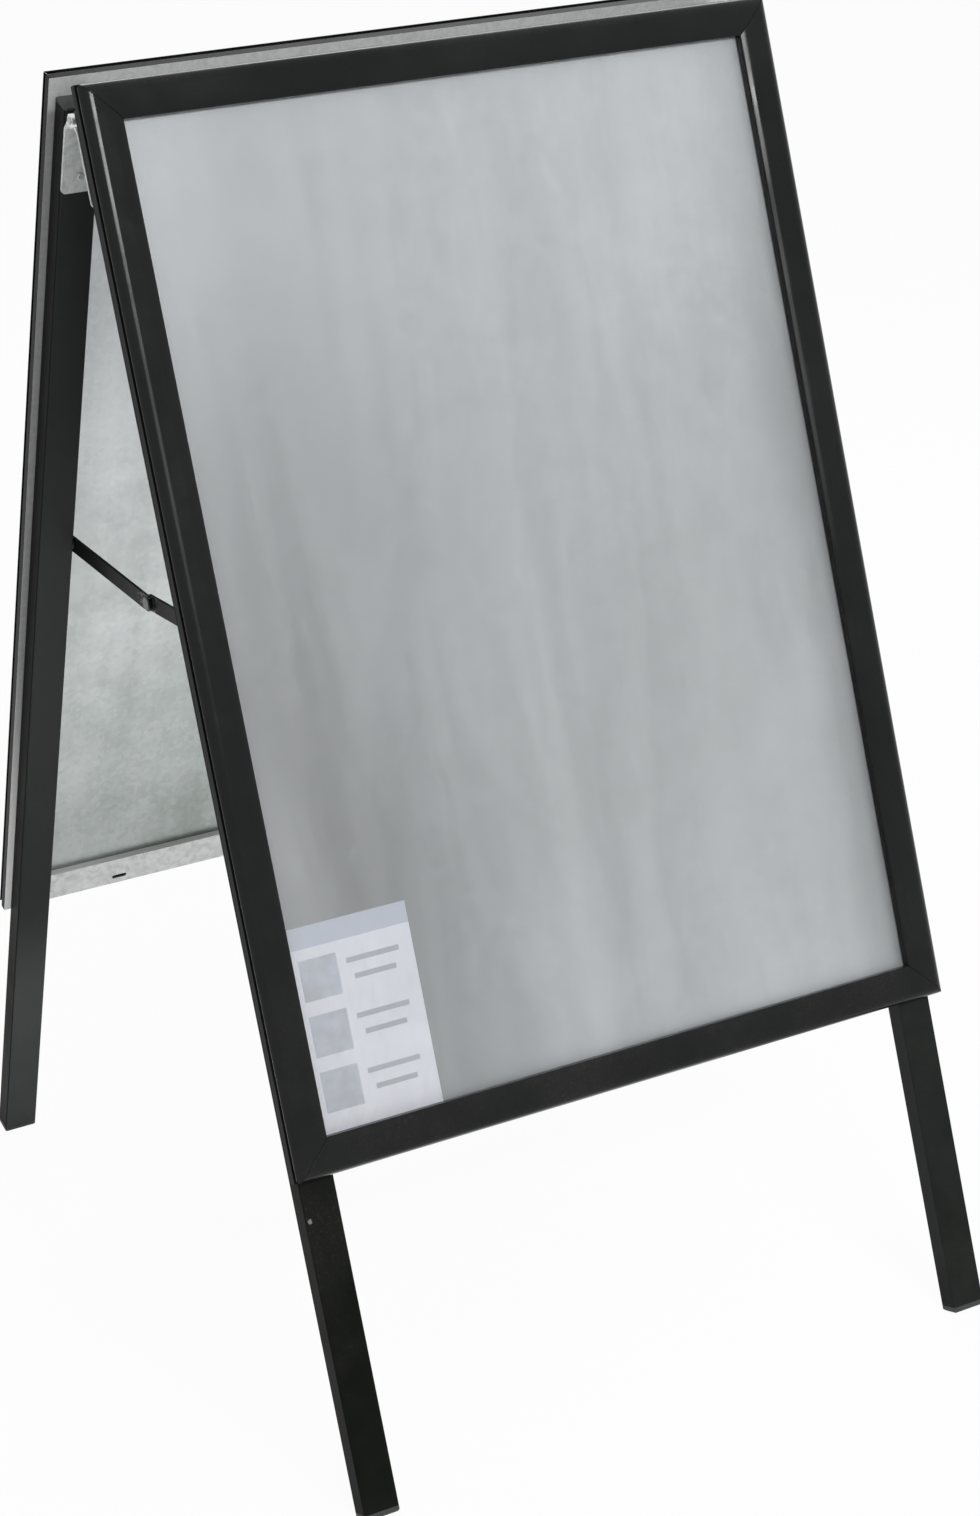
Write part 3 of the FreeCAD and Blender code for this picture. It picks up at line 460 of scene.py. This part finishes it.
def build_plated_metal():
    """Bright metal with fine scratches and dull water marks."""
    tree, given, made = new_group("Plated metal",
                                  [("Place", "Vector", (0, 0, 0)), ("Roughness", "Float", 0.35),
                                   ("Grain", "Vector", (60.0, 60.0, 900.0))],
                                  [("Tone", "Float"), ("Roughness", "Float"), ("Height", "Float")])
    lines = noise(tree, stretched(tree, given["Place"], given["Grain"]), 1.0, 3.0, 0.6)
    marks = noise(tree, given["Place"], 130.0, 5.0, 0.6, 0.6)
    tone = total(tree, product(tree, lines, 0.4), smooth(tree, marks, 0.35, 0.68, 0.0, 0.6))
    spread = smooth(tree, marks, 0.3, 0.7, -0.06, 0.14)
    feed(tree, made["Tone"], tone)
    feed(tree, made["Roughness"], total(tree, given["Roughness"], spread))
    feed(tree, made["Height"], lines)


def build_printed_block():
    """A printed rectangle on the leaflet, with slightly soft edges."""
    tree, given, made = new_group("Printed block",
                                  [("Place", "Vector", (0, 0, 0)), ("Middle", "Vector", (0, 0, 0)),
                                   ("Half size", "Vector", (1, 1, 1))], [("Ink", "Float")])
    offset = offset_from(tree, given["Place"], given["Middle"])
    size = add(tree, "VectorMath", {0: offset}, operation="ABSOLUTE").outputs[0]
    across, _, rise = along_axes(tree, offset_from(tree, size, given["Half size"]))
    feed(tree, made["Ink"], smooth(tree, largest(tree, across, rise), 0.2 * MM, -0.2 * MM))


GROUP_BUILDERS = (build_panel_space, build_soft_edges, build_rubbed_paint, build_satin_coat, build_dust,
                  build_zinc_sheet, build_plated_metal, build_printed_block)


def build_groups():
    for build in GROUP_BUILDERS:
        build()


# Materials

def new_material(name):
    """An empty material; gives it, its tree and its output socket."""
    material = bpy.data.materials.new(name)
    material.use_nodes = True
    tree = material.node_tree
    tree.nodes.clear()
    surface = add(tree, "OutputMaterial").inputs["Surface"]
    return material, tree, surface


def shade(tree, surface, inputs):
    tree.links.new(add(tree, "BsdfPrincipled", inputs).outputs[0], surface)


def bump(tree, height, strength, distance, normal):
    inputs = {"Height": height, "Strength": strength, "Distance": distance, "Normal": normal}
    return add(tree, "Bump", inputs).outputs[0]


def black_finish(name, panel, colour, roughness, edge, settings, gloss, chip=None, painted_reflection=None):
    """Black coat or paint: satin grain, dust, and bare metal where the edges are rubbed.

    A chip adds bare metal, and a painted reflection lightens the side that faces the other panel, most
    towards the foot."""
    colours = settings.poster_stand_colours
    finish = settings.poster_stand_finish
    material, tree, surface = new_material(name)
    space = use(tree, "Panel space", Lean=PANEL_LEAN[panel])
    edges = use(tree, "Soft edges", Width=edge)
    satin = use(tree, "Satin coat", Place=space["Place"], Roughness=roughness)
    dust = use(tree, "Dust", Place=space["Place"], Upward=space["Upward"], Amount=finish.dust_cover)
    rubbed = use(tree, "Rubbed paint", Place=space["Place"], Edge=edges["Edge"], Amount=finish.edge_wear)
    bare = rubbed["Bare"]
    if chip is not None:
        bare = largest(tree, bare, chip(tree, space["Place"]))
    tone = toned(tree, satin["Tone"], colour, *COAT_LIGHT)
    # Painted reflection of the floor on the side that faces the other panel, lighter lower down
    if painted_reflection is not None:
        height = along_axes(tree, space["Place"])[2]
        eased = smooth(tree, height, *LEG_REFLECTION_EASES)
        upper = calc(tree, "SUBTRACT", smooth(tree, height, *LEG_REFLECTION), eased)
        along = total(tree, upper, smooth(tree, height, *LEG_REFLECTION_FOOT))
        patchy = product(tree, smooth(tree, satin["Tone"], 0.0, 0.5, 0.85, 1.0), along)
        wear_and_reflection = product(tree, smooth(tree, space["Inward"], *LEG_FACES_IN), patchy)
        tone = blend(tree, wear_and_reflection, tone, solid(painted_reflection))
    dusty = blend(tree, dust["Cover"], tone, solid(colours.dust))
    shade(tree, surface, {
        "Base Color": blend(tree, bare, dusty, solid(colours.bare_steel)),
        "Metallic": bare,
        "Roughness": total(tree, satin["Roughness"], product(tree, dust["Cover"], 0.8)),
        "Specular IOR Level": gloss,
        "Normal": bump(tree, satin["Height"], 0.06, 0.05 * MM, edges["Normal"]),
    })
    return material


def ragged_fleck(tree, place, middle, axes, size):
    """A patch with a ragged edge around a point; an axis of nought lets it run on along that axis."""
    ragged = calc(tree, "SUBTRACT", noise(tree, place, 260.0, 3.0, 0.6), 0.5)
    offset = stretched(tree, offset_from(tree, place, middle), axes)
    distance = add(tree, "VectorMath", {0: offset}, operation="LENGTH").outputs["Value"]
    reach = total(tree, distance, product(tree, ragged, 3.5 * size))
    return smooth(tree, reach, 1.25 * size, 0.75 * size)


def leg_chip(tree, place):
    """Bare steel on the outer edge of a front leg, just below the frame."""
    return product(tree, ragged_fleck(tree, place, CHIP_PLACE, ROUND, CHIP_SIZE), CHIP_SHARE)


def worn_lap(panel):
    """Paint rubbed off the stays where their two links lap."""
    lap = Matrix.Rotation(PANEL_LEAN[panel], 3, "X") @ (Vector((0.0, 0.0, STAY_LAP_HEIGHT)) - HINGE)

    def wear(tree, place):
        scratches = smooth(tree, noise(tree, place, 330.0, 4.0, 0.65), 0.50, 0.60, 0.0, 0.7)
        return product(tree, ragged_fleck(tree, place, lap, ALONG_X, LAP_SIZE), scratches)
    return wear


def base_rail_finish(name, panel, settings):
    """Black coat outside and bare drawn metal on the side that faces the legs.

    The metal has painted shade beside the legs, and painted light on the ledge's wall and low on the stiles."""
    colours = settings.poster_stand_colours
    finish = settings.poster_stand_finish
    material, tree, surface = new_material(name)
    space = use(tree, "Panel space", Lean=PANEL_LEAN[panel])
    edges = use(tree, "Soft edges", Width=finish.soft_edge)
    satin = use(tree, "Satin coat", Place=space["Place"], Roughness=finish.coat_roughness)
    metal = use(tree, "Plated metal", Place=space["Place"], Roughness=RAIL_ROUGHNESS, Grain=RAIL_GRAIN)
    dust = use(tree, "Dust", Place=space["Place"], Upward=space["Upward"], Amount=finish.dust_cover)
    rubbed = use(tree, "Rubbed paint", Place=space["Place"], Edge=edges["Edge"], Amount=finish.edge_wear)
    across, _, height = along_axes(tree, space["Place"])
    from_side = calc(tree, "SUBTRACT", FRAME_HALF_WIDTH, calc(tree, "ABSOLUTE", across))
    from_middle = calc(tree, "ABSOLUTE", calc(tree, "SUBTRACT", height, FRAME_MIDDLE))
    from_end = calc(tree, "SUBTRACT", FRAME_HALF_HEIGHT, from_middle)
    from_edge = calc(tree, "MINIMUM", from_side, from_end)
    faces_in = smooth(tree, space["Inward"], *RAIL_FACES_IN)
    uncoated = largest(tree, faces_in, smooth(tree, from_edge, *RAIL_COAT_EDGE))
    bare = largest(tree, uncoated, rubbed["Bare"])
    near_side = smooth(tree, from_side, *RAIL_NEAR_SIDE)
    # Painted shade: the bare metal beside the legs is darkened for their shadow, and darkened near the
    # ground by grime
    leg_shade = product(tree, near_side, smooth(tree, from_end, *RAIL_PAST_CORNER), LEG_SHADE)
    grime_and_shade = largest(tree, leg_shade, smooth(tree, height, *RAIL_GROUND_GRIME))
    faces_out = calc(tree, "SUBTRACT", 1.0, faces_in)
    # Painted light: the ledge's wall, which lies in shade, and the stiles low down are made pale
    ledge_wall = product(tree, smooth(tree, from_edge, *RAIL_LEDGE_WALL), faces_out)
    pale = largest(tree, ledge_wall, product(tree, near_side, smooth(tree, height, *RAIL_LOW_PALE_LIGHT)))
    drawn = toned(tree, metal["Tone"], colours.mill, 0.72)
    drawn = blend(tree, grime_and_shade, drawn, solid(colours.mill, 0.3))
    drawn = blend(tree, pale, drawn, solid(colours.pale_light))
    black = toned(tree, satin["Tone"], colours.coat, *COAT_LIGHT)
    rough = add(tree, "Mix", {0: bare, 2: satin["Roughness"], 3: metal["Roughness"]}, data_type="FLOAT")
    shade(tree, surface, {
        "Base Color": blend(tree, dust["Cover"], blend(tree, bare, black, drawn), solid(colours.dust)),
        "Metallic": product(tree, bare, smooth(tree, pale, 0.0, 1.0, 0.5, 0.1)),
        "Roughness": rough.outputs[0],
        "Specular IOR Level": RAIL_GLOSS,
        "Normal": bump(tree, metal["Height"], 0.05, 0.05 * MM, edges["Normal"]),
    })
    return material


def plastic_finish(settings):
    """Moulded plastic with a fine grain, scuffed along its edges."""
    colours = settings.poster_stand_colours
    finish = settings.poster_stand_finish
    material, tree, surface = new_material("Black plug plastic")
    source = add(tree, "TexCoord").outputs["Object"]
    edges = use(tree, "Soft edges", Width=finish.soft_edge)
    satin = use(tree, "Satin coat", Place=source, Roughness=PLASTIC_ROUGHNESS)
    scuff = use(tree, "Rubbed paint", Place=source, Edge=edges["Edge"], Amount=PLASTIC_SCUFF)
    tone = toned(tree, satin["Tone"], colours.plastic, *PLASTIC_LIGHT)
    shade(tree, surface, {
        "Base Color": blend(tree, scuff["Bare"], tone, solid(colours.dust)),
        "Roughness": satin["Roughness"],
        "Specular IOR Level": PLASTIC_GLOSS,
        "Normal": bump(tree, satin["Height"], 0.2, 0.08 * MM, edges["Normal"]),
    })
    return material


def zinc_finish(name, panel, dark, light, shade_colour, mottle, side_shade, low_shade, metallic):
    """Galvanised sheet with streaks and clouds, and painted shade at its sides and towards its foot."""
    material, tree, surface = new_material(name)
    space = use(tree, "Panel space", Lean=PANEL_LEAN[panel])
    zinc = use(tree, "Zinc sheet", Place=space["Place"], Mottle=mottle)
    across, _, height = along_axes(tree, space["Place"])
    foot = smooth(tree, height, *SHEET_FOOT)
    # Painted shade towards the left, in a band at mid height, in the lower left corner and beside the right
    # stile
    beside = product(tree, smooth(tree, across, *SHEET_LEFT_SHADE), smooth(tree, foot, 0.0, 1.0, 1.0, 0.5),
                     smooth(tree, height, *SHEET_LEFT_TOP))
    middle = product(tree, smooth(tree, height, *SHEET_MIDDLE_SHADE),
                     smooth(tree, height, *SHEET_MIDDLE_END))
    corner = product(tree, foot, smooth(tree, across, *SHEET_CORNER_SHADE))
    rim = product(tree, smooth(tree, across, *SHEET_RIM_SHADE), smooth(tree, height, *SHEET_RIM_TOP))
    sides = product(tree, total(tree, beside, middle, corner, rim), side_shade)
    # Painted shade towards the foot; dull is the share of painted shade
    low = smooth(tree, height, *SHEET_SHADED_FOOT, 0.0, low_shade, "LINEAR")
    patchy = smooth(tree, zinc["Tone"], 0.2, 0.8, 1.08, 0.92)
    dull = total(tree, sides, product(tree, low, patchy))
    foot_shade = product(tree, foot, smooth(tree, height, *SHEET_FOOT_SHADE))
    tone = blend(tree, calc(tree, "SUBTRACT", zinc["Tone"], foot_shade), solid(dark), solid(light))
    tone = blend(tree, dull, tone, solid(shade_colour))
    plain = add(tree, "NewGeometry").outputs["Normal"]
    shade(tree, surface, {
        "Base Color": tone,
        "Metallic": metallic,
        "Roughness": zinc["Roughness"],
        "Specular IOR Level": ZINC_GLOSS,
        "Normal": bump(tree, zinc["Height"], 0.05, 0.1 * MM, plain),
    })
    return material


def clear_finish(name, panel, settings):
    """A clear sheet that doesn't glare: a thin milky veil with wiped streaks."""
    colours = settings.poster_stand_colours
    haze = settings.poster_stand_finish.sheet_haze
    material, tree, surface = new_material(name)
    space = use(tree, "Panel space", Lean=PANEL_LEAN[panel])
    streaks = noise(tree, stretched(tree, space["Place"], (9.0, 1.0, 1.3)), 1.0, 5.0, 0.6, 0.8)
    specks = noise(tree, space["Place"], 60.0, 5.0, 0.7)
    veil = smooth(tree, streaks, 0.30, 0.74, haze * 0.5, haze * 1.7)
    waves = noise(tree, space["Place"], 6.0, 2.0, 0.4)
    plain = add(tree, "NewGeometry").outputs["Normal"]
    shade(tree, surface, {
        "Base Color": blend(tree, streaks, solid(colours.veil_dark), solid(colours.veil_light)),
        "Roughness": smooth(tree, specks, 0.3, 0.7, 0.22, 0.36),
        "Alpha": total(tree, veil, smooth(tree, specks, 0.55, 0.80, 0.0, 0.05)),
        "Normal": bump(tree, waves, 0.25, 1.0 * MM, plain),
    })
    return material


def metal_finish(name, settings, polished=None):
    """Plated or bright steel with fine lines and water marks; the hinge line may be rubbed to a polish."""
    colour, roughness, grain, metallic = METALS[name]
    finish = settings.poster_stand_finish
    material, tree, surface = new_material(name)
    source = add(tree, "TexCoord").outputs["Object"]
    edges = use(tree, "Soft edges", Width=finish.soft_edge)
    metal = use(tree, "Plated metal", Place=source, Roughness=roughness, Grain=grain)
    tone = toned(tree, metal["Tone"], getattr(settings.poster_stand_colours, colour), 0.6)
    if polished is not None:
        rubbed = ragged_fleck(tree, source, HINGE, ALONG_X, HINGE_LINE_SIZE)
        tone = blend(tree, rubbed, tone, solid(polished))
    shade(tree, surface, {
        "Base Color": tone,
        "Metallic": metallic,
        "Roughness": metal["Roughness"],
        "Normal": bump(tree, metal["Height"], 0.08, 0.05 * MM, edges["Normal"]),
    })
    return material


def leaflet_finish(settings):
    """Plain card with a band along its top, and rows of a grey square beside two bars."""
    colours = settings.poster_stand_colours
    material, tree, surface = new_material("Leaflet card")
    place = use(tree, "Panel space", Lean=PANEL_LEAN["front"])["Place"]

    def ink(across, drop, width, height):
        """A printed block, with its middle that far from the leaflet's left and upper edges."""
        middle = (LEAFLET_LEFT + across, 0, LEAFLET_TOP - drop)
        half = (width / 2, 1, height / 2)
        return use(tree, "Printed block", Place=place, Middle=middle, Half_size=half)["Ink"]

    fibres = noise(tree, place, 900.0, 3.0, 0.6)
    clouds = noise(tree, place, 30.0, 3.0, 0.5)
    blotches = smooth(tree, noise(tree, place, 70.0, 4.0), 0.3, 0.7)
    mottled = blend(tree, blotches, solid(colours.ink), solid(colours.band))
    band = ink(BAND_WIDTH / 2, BAND_HEIGHT / 2, BAND_WIDTH, BAND_HEIGHT)
    face = blend(tree, band, toned(tree, clouds, colours.card, 0.93), solid(colours.band))
    for row in range(PRINT_ROWS):
        drop = ROW_DROP + row * ROW_PITCH
        face = blend(tree, ink(SQUARE_ACROSS, drop, SQUARE_SIDE, SQUARE_SIDE), face, mottled)
        for line in range(BARS_PER_ROW):
            bar_drop = drop - BAR_RISE + line * BAR_PITCH
            bar = ink(BAR_ACROSS, bar_drop, BAR_WIDTH - line * BAR_SHORTER, BAR_HEIGHT)
            face = blend(tree, bar, face, solid(colours.ink))
    plain = add(tree, "NewGeometry").outputs["Normal"]
    shade(tree, surface, {
        "Base Color": face,
        "Roughness": smooth(tree, clouds, 0.3, 0.7, 0.45, 0.6),
        "Normal": bump(tree, fibres, 0.1, 0.05 * MM, plain),
    })
    return material


# Operators

def dress(material, *nodes):
    """Gives the finish to the nodes; a name that isn't a node stops the script."""
    for node in nodes:
        piece = frame["nodes"][node]
        if not piece.material_slots:
            piece.data.materials.append(material)
        for slot in piece.material_slots:
            slot.material = material


class SnapFrames(bpy.types.Operator):
    """Dress the covers and the base rails of both snap frames"""
    bl_idname = "poster_stand.snap_frames"
    bl_label = "Snap frames"

    def execute(self, context):
        settings = context.scene
        finish = settings.poster_stand_finish
        for panel in PANELS:
            coat = black_finish(f"Black satin coat, {panel}", panel, settings.poster_stand_colours.coat,
                                finish.coat_roughness, finish.cover_edge, settings, COAT_GLOSS[panel])
            dress(coat, *[f"{panel}_cover_{rail}" for rail in RAILS])
            rails = base_rail_finish(f"Base rail, {panel}", panel, settings)
            dress(rails, *[f"{panel}_base_{rail}" for rail in RAILS])
        return {"FINISHED"}


class Legs(bpy.types.Operator):
    """Dress the tube legs"""
    bl_idname = "poster_stand.legs"
    bl_label = "Legs"

    def execute(self, context):
        settings = context.scene
        colours = settings.poster_stand_colours
        finish = settings.poster_stand_finish
        for panel in PANELS:
            painted_reflection = colours.painted_reflection if panel == "rear" else None
            # Painted light: the right legs take the lighter paint
            for side, tone in zip(SIDES, (colours.paint, colours.paint_right_lit)):
                chip = leg_chip if (panel, side) == ("front", "left") else None
                paint = black_finish(f"Black leg paint, {panel} {side}", panel, tone, finish.paint_roughness,
                                     finish.soft_edge, settings, LEG_GLOSS, chip, painted_reflection)
                dress(paint, f"{panel}_leg_{side}")
        return {"FINISHED"}


class Plugs(bpy.types.Operator):
    """Dress the feet and the caps in the leg ends"""
    bl_idname = "poster_stand.plugs"
    bl_label = "Feet and caps"

    def execute(self, context):
        plastic = plastic_finish(context.scene)
        for panel in PANELS:
            dress(plastic, *[f"{panel}_{plug}_{side}" for plug in ("foot", "leg_cap") for side in SIDES])
        return {"FINISHED"}


class Sheets(bpy.types.Operator):
    """Dress the zinc back sheets and the clear sheets"""
    bl_idname = "poster_stand.sheets"
    bl_label = "Sheets"

    def execute(self, context):
        settings = context.scene
        colours = settings.poster_stand_colours
        tones = {
            "front": {"dark": colours.zinc_dark, "light": colours.zinc_light, "shade_colour": colours.zinc_side_shade,
                      "mottle": 0.35, "side_shade": 1.0, "low_shade": 0.0, "metallic": 0.6},
            # Painted light: the rear sheet takes the lighter colours
            "rear": {"dark": colours.rear_dark, "light": colours.rear_light, "shade_colour": colours.rear_foot_shade,
                     "mottle": 0.8, "side_shade": 0.0, "low_shade": 0.9, "metallic": 0.8},
        }
        for panel in PANELS:
            dress(zinc_finish(f"Zinc sheet, {panel}", panel, **tones[panel]), f"{panel}_back_sheet")
            dress(clear_finish(f"Clear sheet, {panel}", panel, settings), f"{panel}_clear_sheet")
        return {"FINISHED"}


class Leaflet(bpy.types.Operator):
    """Dress the leaflet in the corner of the front panel"""
    bl_idname = "poster_stand.leaflet"
    bl_label = "Leaflet"

    def execute(self, context):
        dress(leaflet_finish(context.scene), "front_leaflet")
        return {"FINISHED"}


class Hinges(bpy.types.Operator):
    """Dress the hinge leaves, pins and rivets"""
    bl_idname = "poster_stand.hinges"
    bl_label = "Hinges"

    def execute(self, context):
        settings = context.scene
        plated = metal_finish("Zinc plated hinge", settings, settings.poster_stand_colours.knuckle)
        bright = metal_finish("Bright rivets", settings)
        for side in SIDES:
            dress(plated, f"hinge_{side}_front_leaf", f"hinge_{side}_rear_leaf")
            dress(bright, f"hinge_{side}_pin")
        dress(bright, *[f"{panel}_{kind}_rivets" for panel in PANELS for kind in ("hinge", "frame")])
        return {"FINISHED"}


class Stays(bpy.types.Operator):
    """Dress the folding stays and their rivets"""
    bl_idname = "poster_stand.stays"
    bl_label = "Stays"

    def execute(self, context):
        settings = context.scene
        finish = settings.poster_stand_finish
        dull = metal_finish("Dull stay rivets", settings)
        for panel in PANELS:
            paint = black_finish(f"Black stay paint, {panel}", panel, settings.poster_stand_colours.stay,
                                 finish.paint_roughness, finish.soft_edge, settings, STAY_GLOSS,
                                 worn_lap(panel))
            dress(paint, *[f"stay_{side}_{panel}_link" for side in SIDES])
            dress(dull, f"{panel}_stay_rivets", *[f"stay_{side}_{panel}_knuckle" for side in SIDES])
        return {"FINISHED"}


class InnerFittings(bpy.types.Operator):
    """Dress the corner keys and the cover springs inside the frames"""
    bl_idname = "poster_stand.inner_fittings"
    bl_label = "Inner fittings"

    def execute(self, context):
        spring = metal_finish("Spring steel", context.scene)
        key = metal_finish("Plated corner keys", context.scene)
        for panel in PANELS:
            dress(spring, f"{panel}_cover_springs")
            dress(key, f"{panel}_corner_keys")
        return {"FINISHED"}


def seen_directly(tree):
    """One for rays that come from the camera or from a glossy or clear surface."""
    path = add(tree, "LightPath").outputs
    seen = largest(tree, path["Is Camera Ray"], path["Is Glossy Ray"])
    return largest(tree, seen, path["Is Transmission Ray"])


class Stage(bpy.types.Operator):
    """Set up the floor, the light and the camera"""
    bl_idname = "poster_stand.stage"
    bl_label = "Stage"

    def execute(self, context):
        stage = context.scene.poster_stand_stage
        self.make_floor(context, stage)
        self.make_world(context, stage)
        self.make_sky(context, stage)
        for name, (place, aim, size, setting) in SOFTBOXES.items():
            self.make_softbox(context, name, place, aim, size, getattr(stage, setting))
        self.make_camera(context, stage)
        context.scene.view_settings.view_transform = "Standard"
        return {"FINISHED"}

    def make_floor(self, context, stage):
        half = stage.floor_size / 2
        corners = [(-half, -half, 0), (half, -half, 0), (half, half, 0), (-half, half, 0)]
        mesh = bpy.data.meshes.new("floor")
        mesh.from_pydata(corners, [], [(0, 1, 2, 3)])
        floor = bpy.data.objects.new("floor", mesh)
        context.scene.collection.objects.link(floor)
        material, tree, surface = new_material("Pale floor")
        source = add(tree, "TexCoord").outputs["Object"]
        tone = toned(tree, noise(tree, source, 2.0, 3.0), stage.floor, 1.02)
        matt = add(tree, "BsdfPrincipled",
                   {"Base Color": tone, "Roughness": 0.9, "Specular IOR Level": 0.0})
        white = add(tree, "Emission", {"Color": (1.0, 1.0, 1.0, 1.0), "Strength": 1.0})
        share = product(tree, seen_directly(tree), stage.floor_glow)
        mixed = add(tree, "MixShader", {0: share, 1: matt.outputs[0], 2: white.outputs[0]})
        tree.links.new(mixed.outputs[0], surface)
        mesh.materials.append(material)

    def make_world(self, context, stage):
        """White behind the object and in reflections, and a softer light on everything else."""
        world = bpy.data.worlds.new("Studio")
        world.use_nodes = True
        tree = world.node_tree
        tree.nodes.clear()
        level = largest(tree, seen_directly(tree), stage.ambient)
        light = add(tree, "Background", {"Color": (1.0, 1.0, 1.0, 1.0), "Strength": level})
        leave = add(tree, "OutputWorld", {"Surface": light.outputs[0]})
        leave.is_active_output = True
        context.scene.world = world

    def make_sky(self, context, stage):
        data = bpy.data.lights.new("soft sky", "SUN")
        data.energy = stage.sky_strength
        data.angle = stage.sky_angle
        sky = bpy.data.objects.new("soft sky", data)
        sky.rotation_euler = stage.sky_turn
        context.scene.collection.objects.link(sky)

    def make_softbox(self, context, name, place, aim, size, brightness):
        data = bpy.data.lights.new(name, "AREA")
        data.shape = "RECTANGLE"
        data.size, data.size_y = size
        data.energy = brightness * math.pi * data.size * data.size_y
        softbox = bpy.data.objects.new(name, data)
        softbox.location = place
        softbox.rotation_euler = (Vector(aim) - Vector(place)).to_track_quat("-Z", "Y").to_euler()
        softbox.visible_camera = False
        context.scene.collection.objects.link(softbox)

    def make_camera(self, context, stage):
        data = bpy.data.cameras.new("camera")
        data.sensor_width = SENSOR_WIDTH
        data.lens = stage.focal_pixels / max(PHOTO_WIDTH, PHOTO_HEIGHT) * SENSOR_WIDTH
        camera = bpy.data.objects.new("camera", data)
        turn = Matrix.Rotation(stage.yaw, 4, "Z") @ Matrix.Rotation(math.pi / 2 - stage.pitch, 4, "X")
        camera.matrix_world = Matrix.Translation(stage.eye) @ turn @ Matrix.Rotation(stage.roll, 4, "Z")
        context.scene.collection.objects.link(camera)
        context.scene.camera = camera


OPERATORS = (SnapFrames, Legs, Plugs, Sheets, Leaflet, Hinges, Stays, InnerFittings, Stage)


class StandPanel(bpy.types.Panel):
    """Lists the steps that dress the stand"""
    bl_idname = "VIEW3D_PT_poster_stand"
    bl_label = "Poster Stand"
    bl_space_type = "VIEW_3D"
    bl_region_type = "UI"
    bl_category = "Poster Stand"

    def draw(self, context):
        for operator in OPERATORS:
            self.layout.operator(operator.bl_idname)
        for group in (context.scene.poster_stand_colours, context.scene.poster_stand_finish,
                      context.scene.poster_stand_stage):
            box = self.layout.box()
            for name in group.__annotations__:
                box.prop(group, name)


CLASSES = (StandColours, StandFinish, StageSettings, *OPERATORS, StandPanel)


def register():
    for item in CLASSES:
        bpy.utils.register_class(item)
    bpy.types.Scene.poster_stand_colours = PointerProperty(type=StandColours)
    bpy.types.Scene.poster_stand_finish = PointerProperty(type=StandFinish)
    bpy.types.Scene.poster_stand_stage = PointerProperty(type=StageSettings)


def unregister():
    del bpy.types.Scene.poster_stand_stage
    del bpy.types.Scene.poster_stand_finish
    del bpy.types.Scene.poster_stand_colours
    for item in reversed(CLASSES):
        bpy.utils.unregister_class(item)


def main():
    register()
    build_groups()
    for operator in OPERATORS:
        family, step = operator.bl_idname.split(".")
        getattr(getattr(bpy.ops, family), step)()


if __name__ == "__main__":
    main()
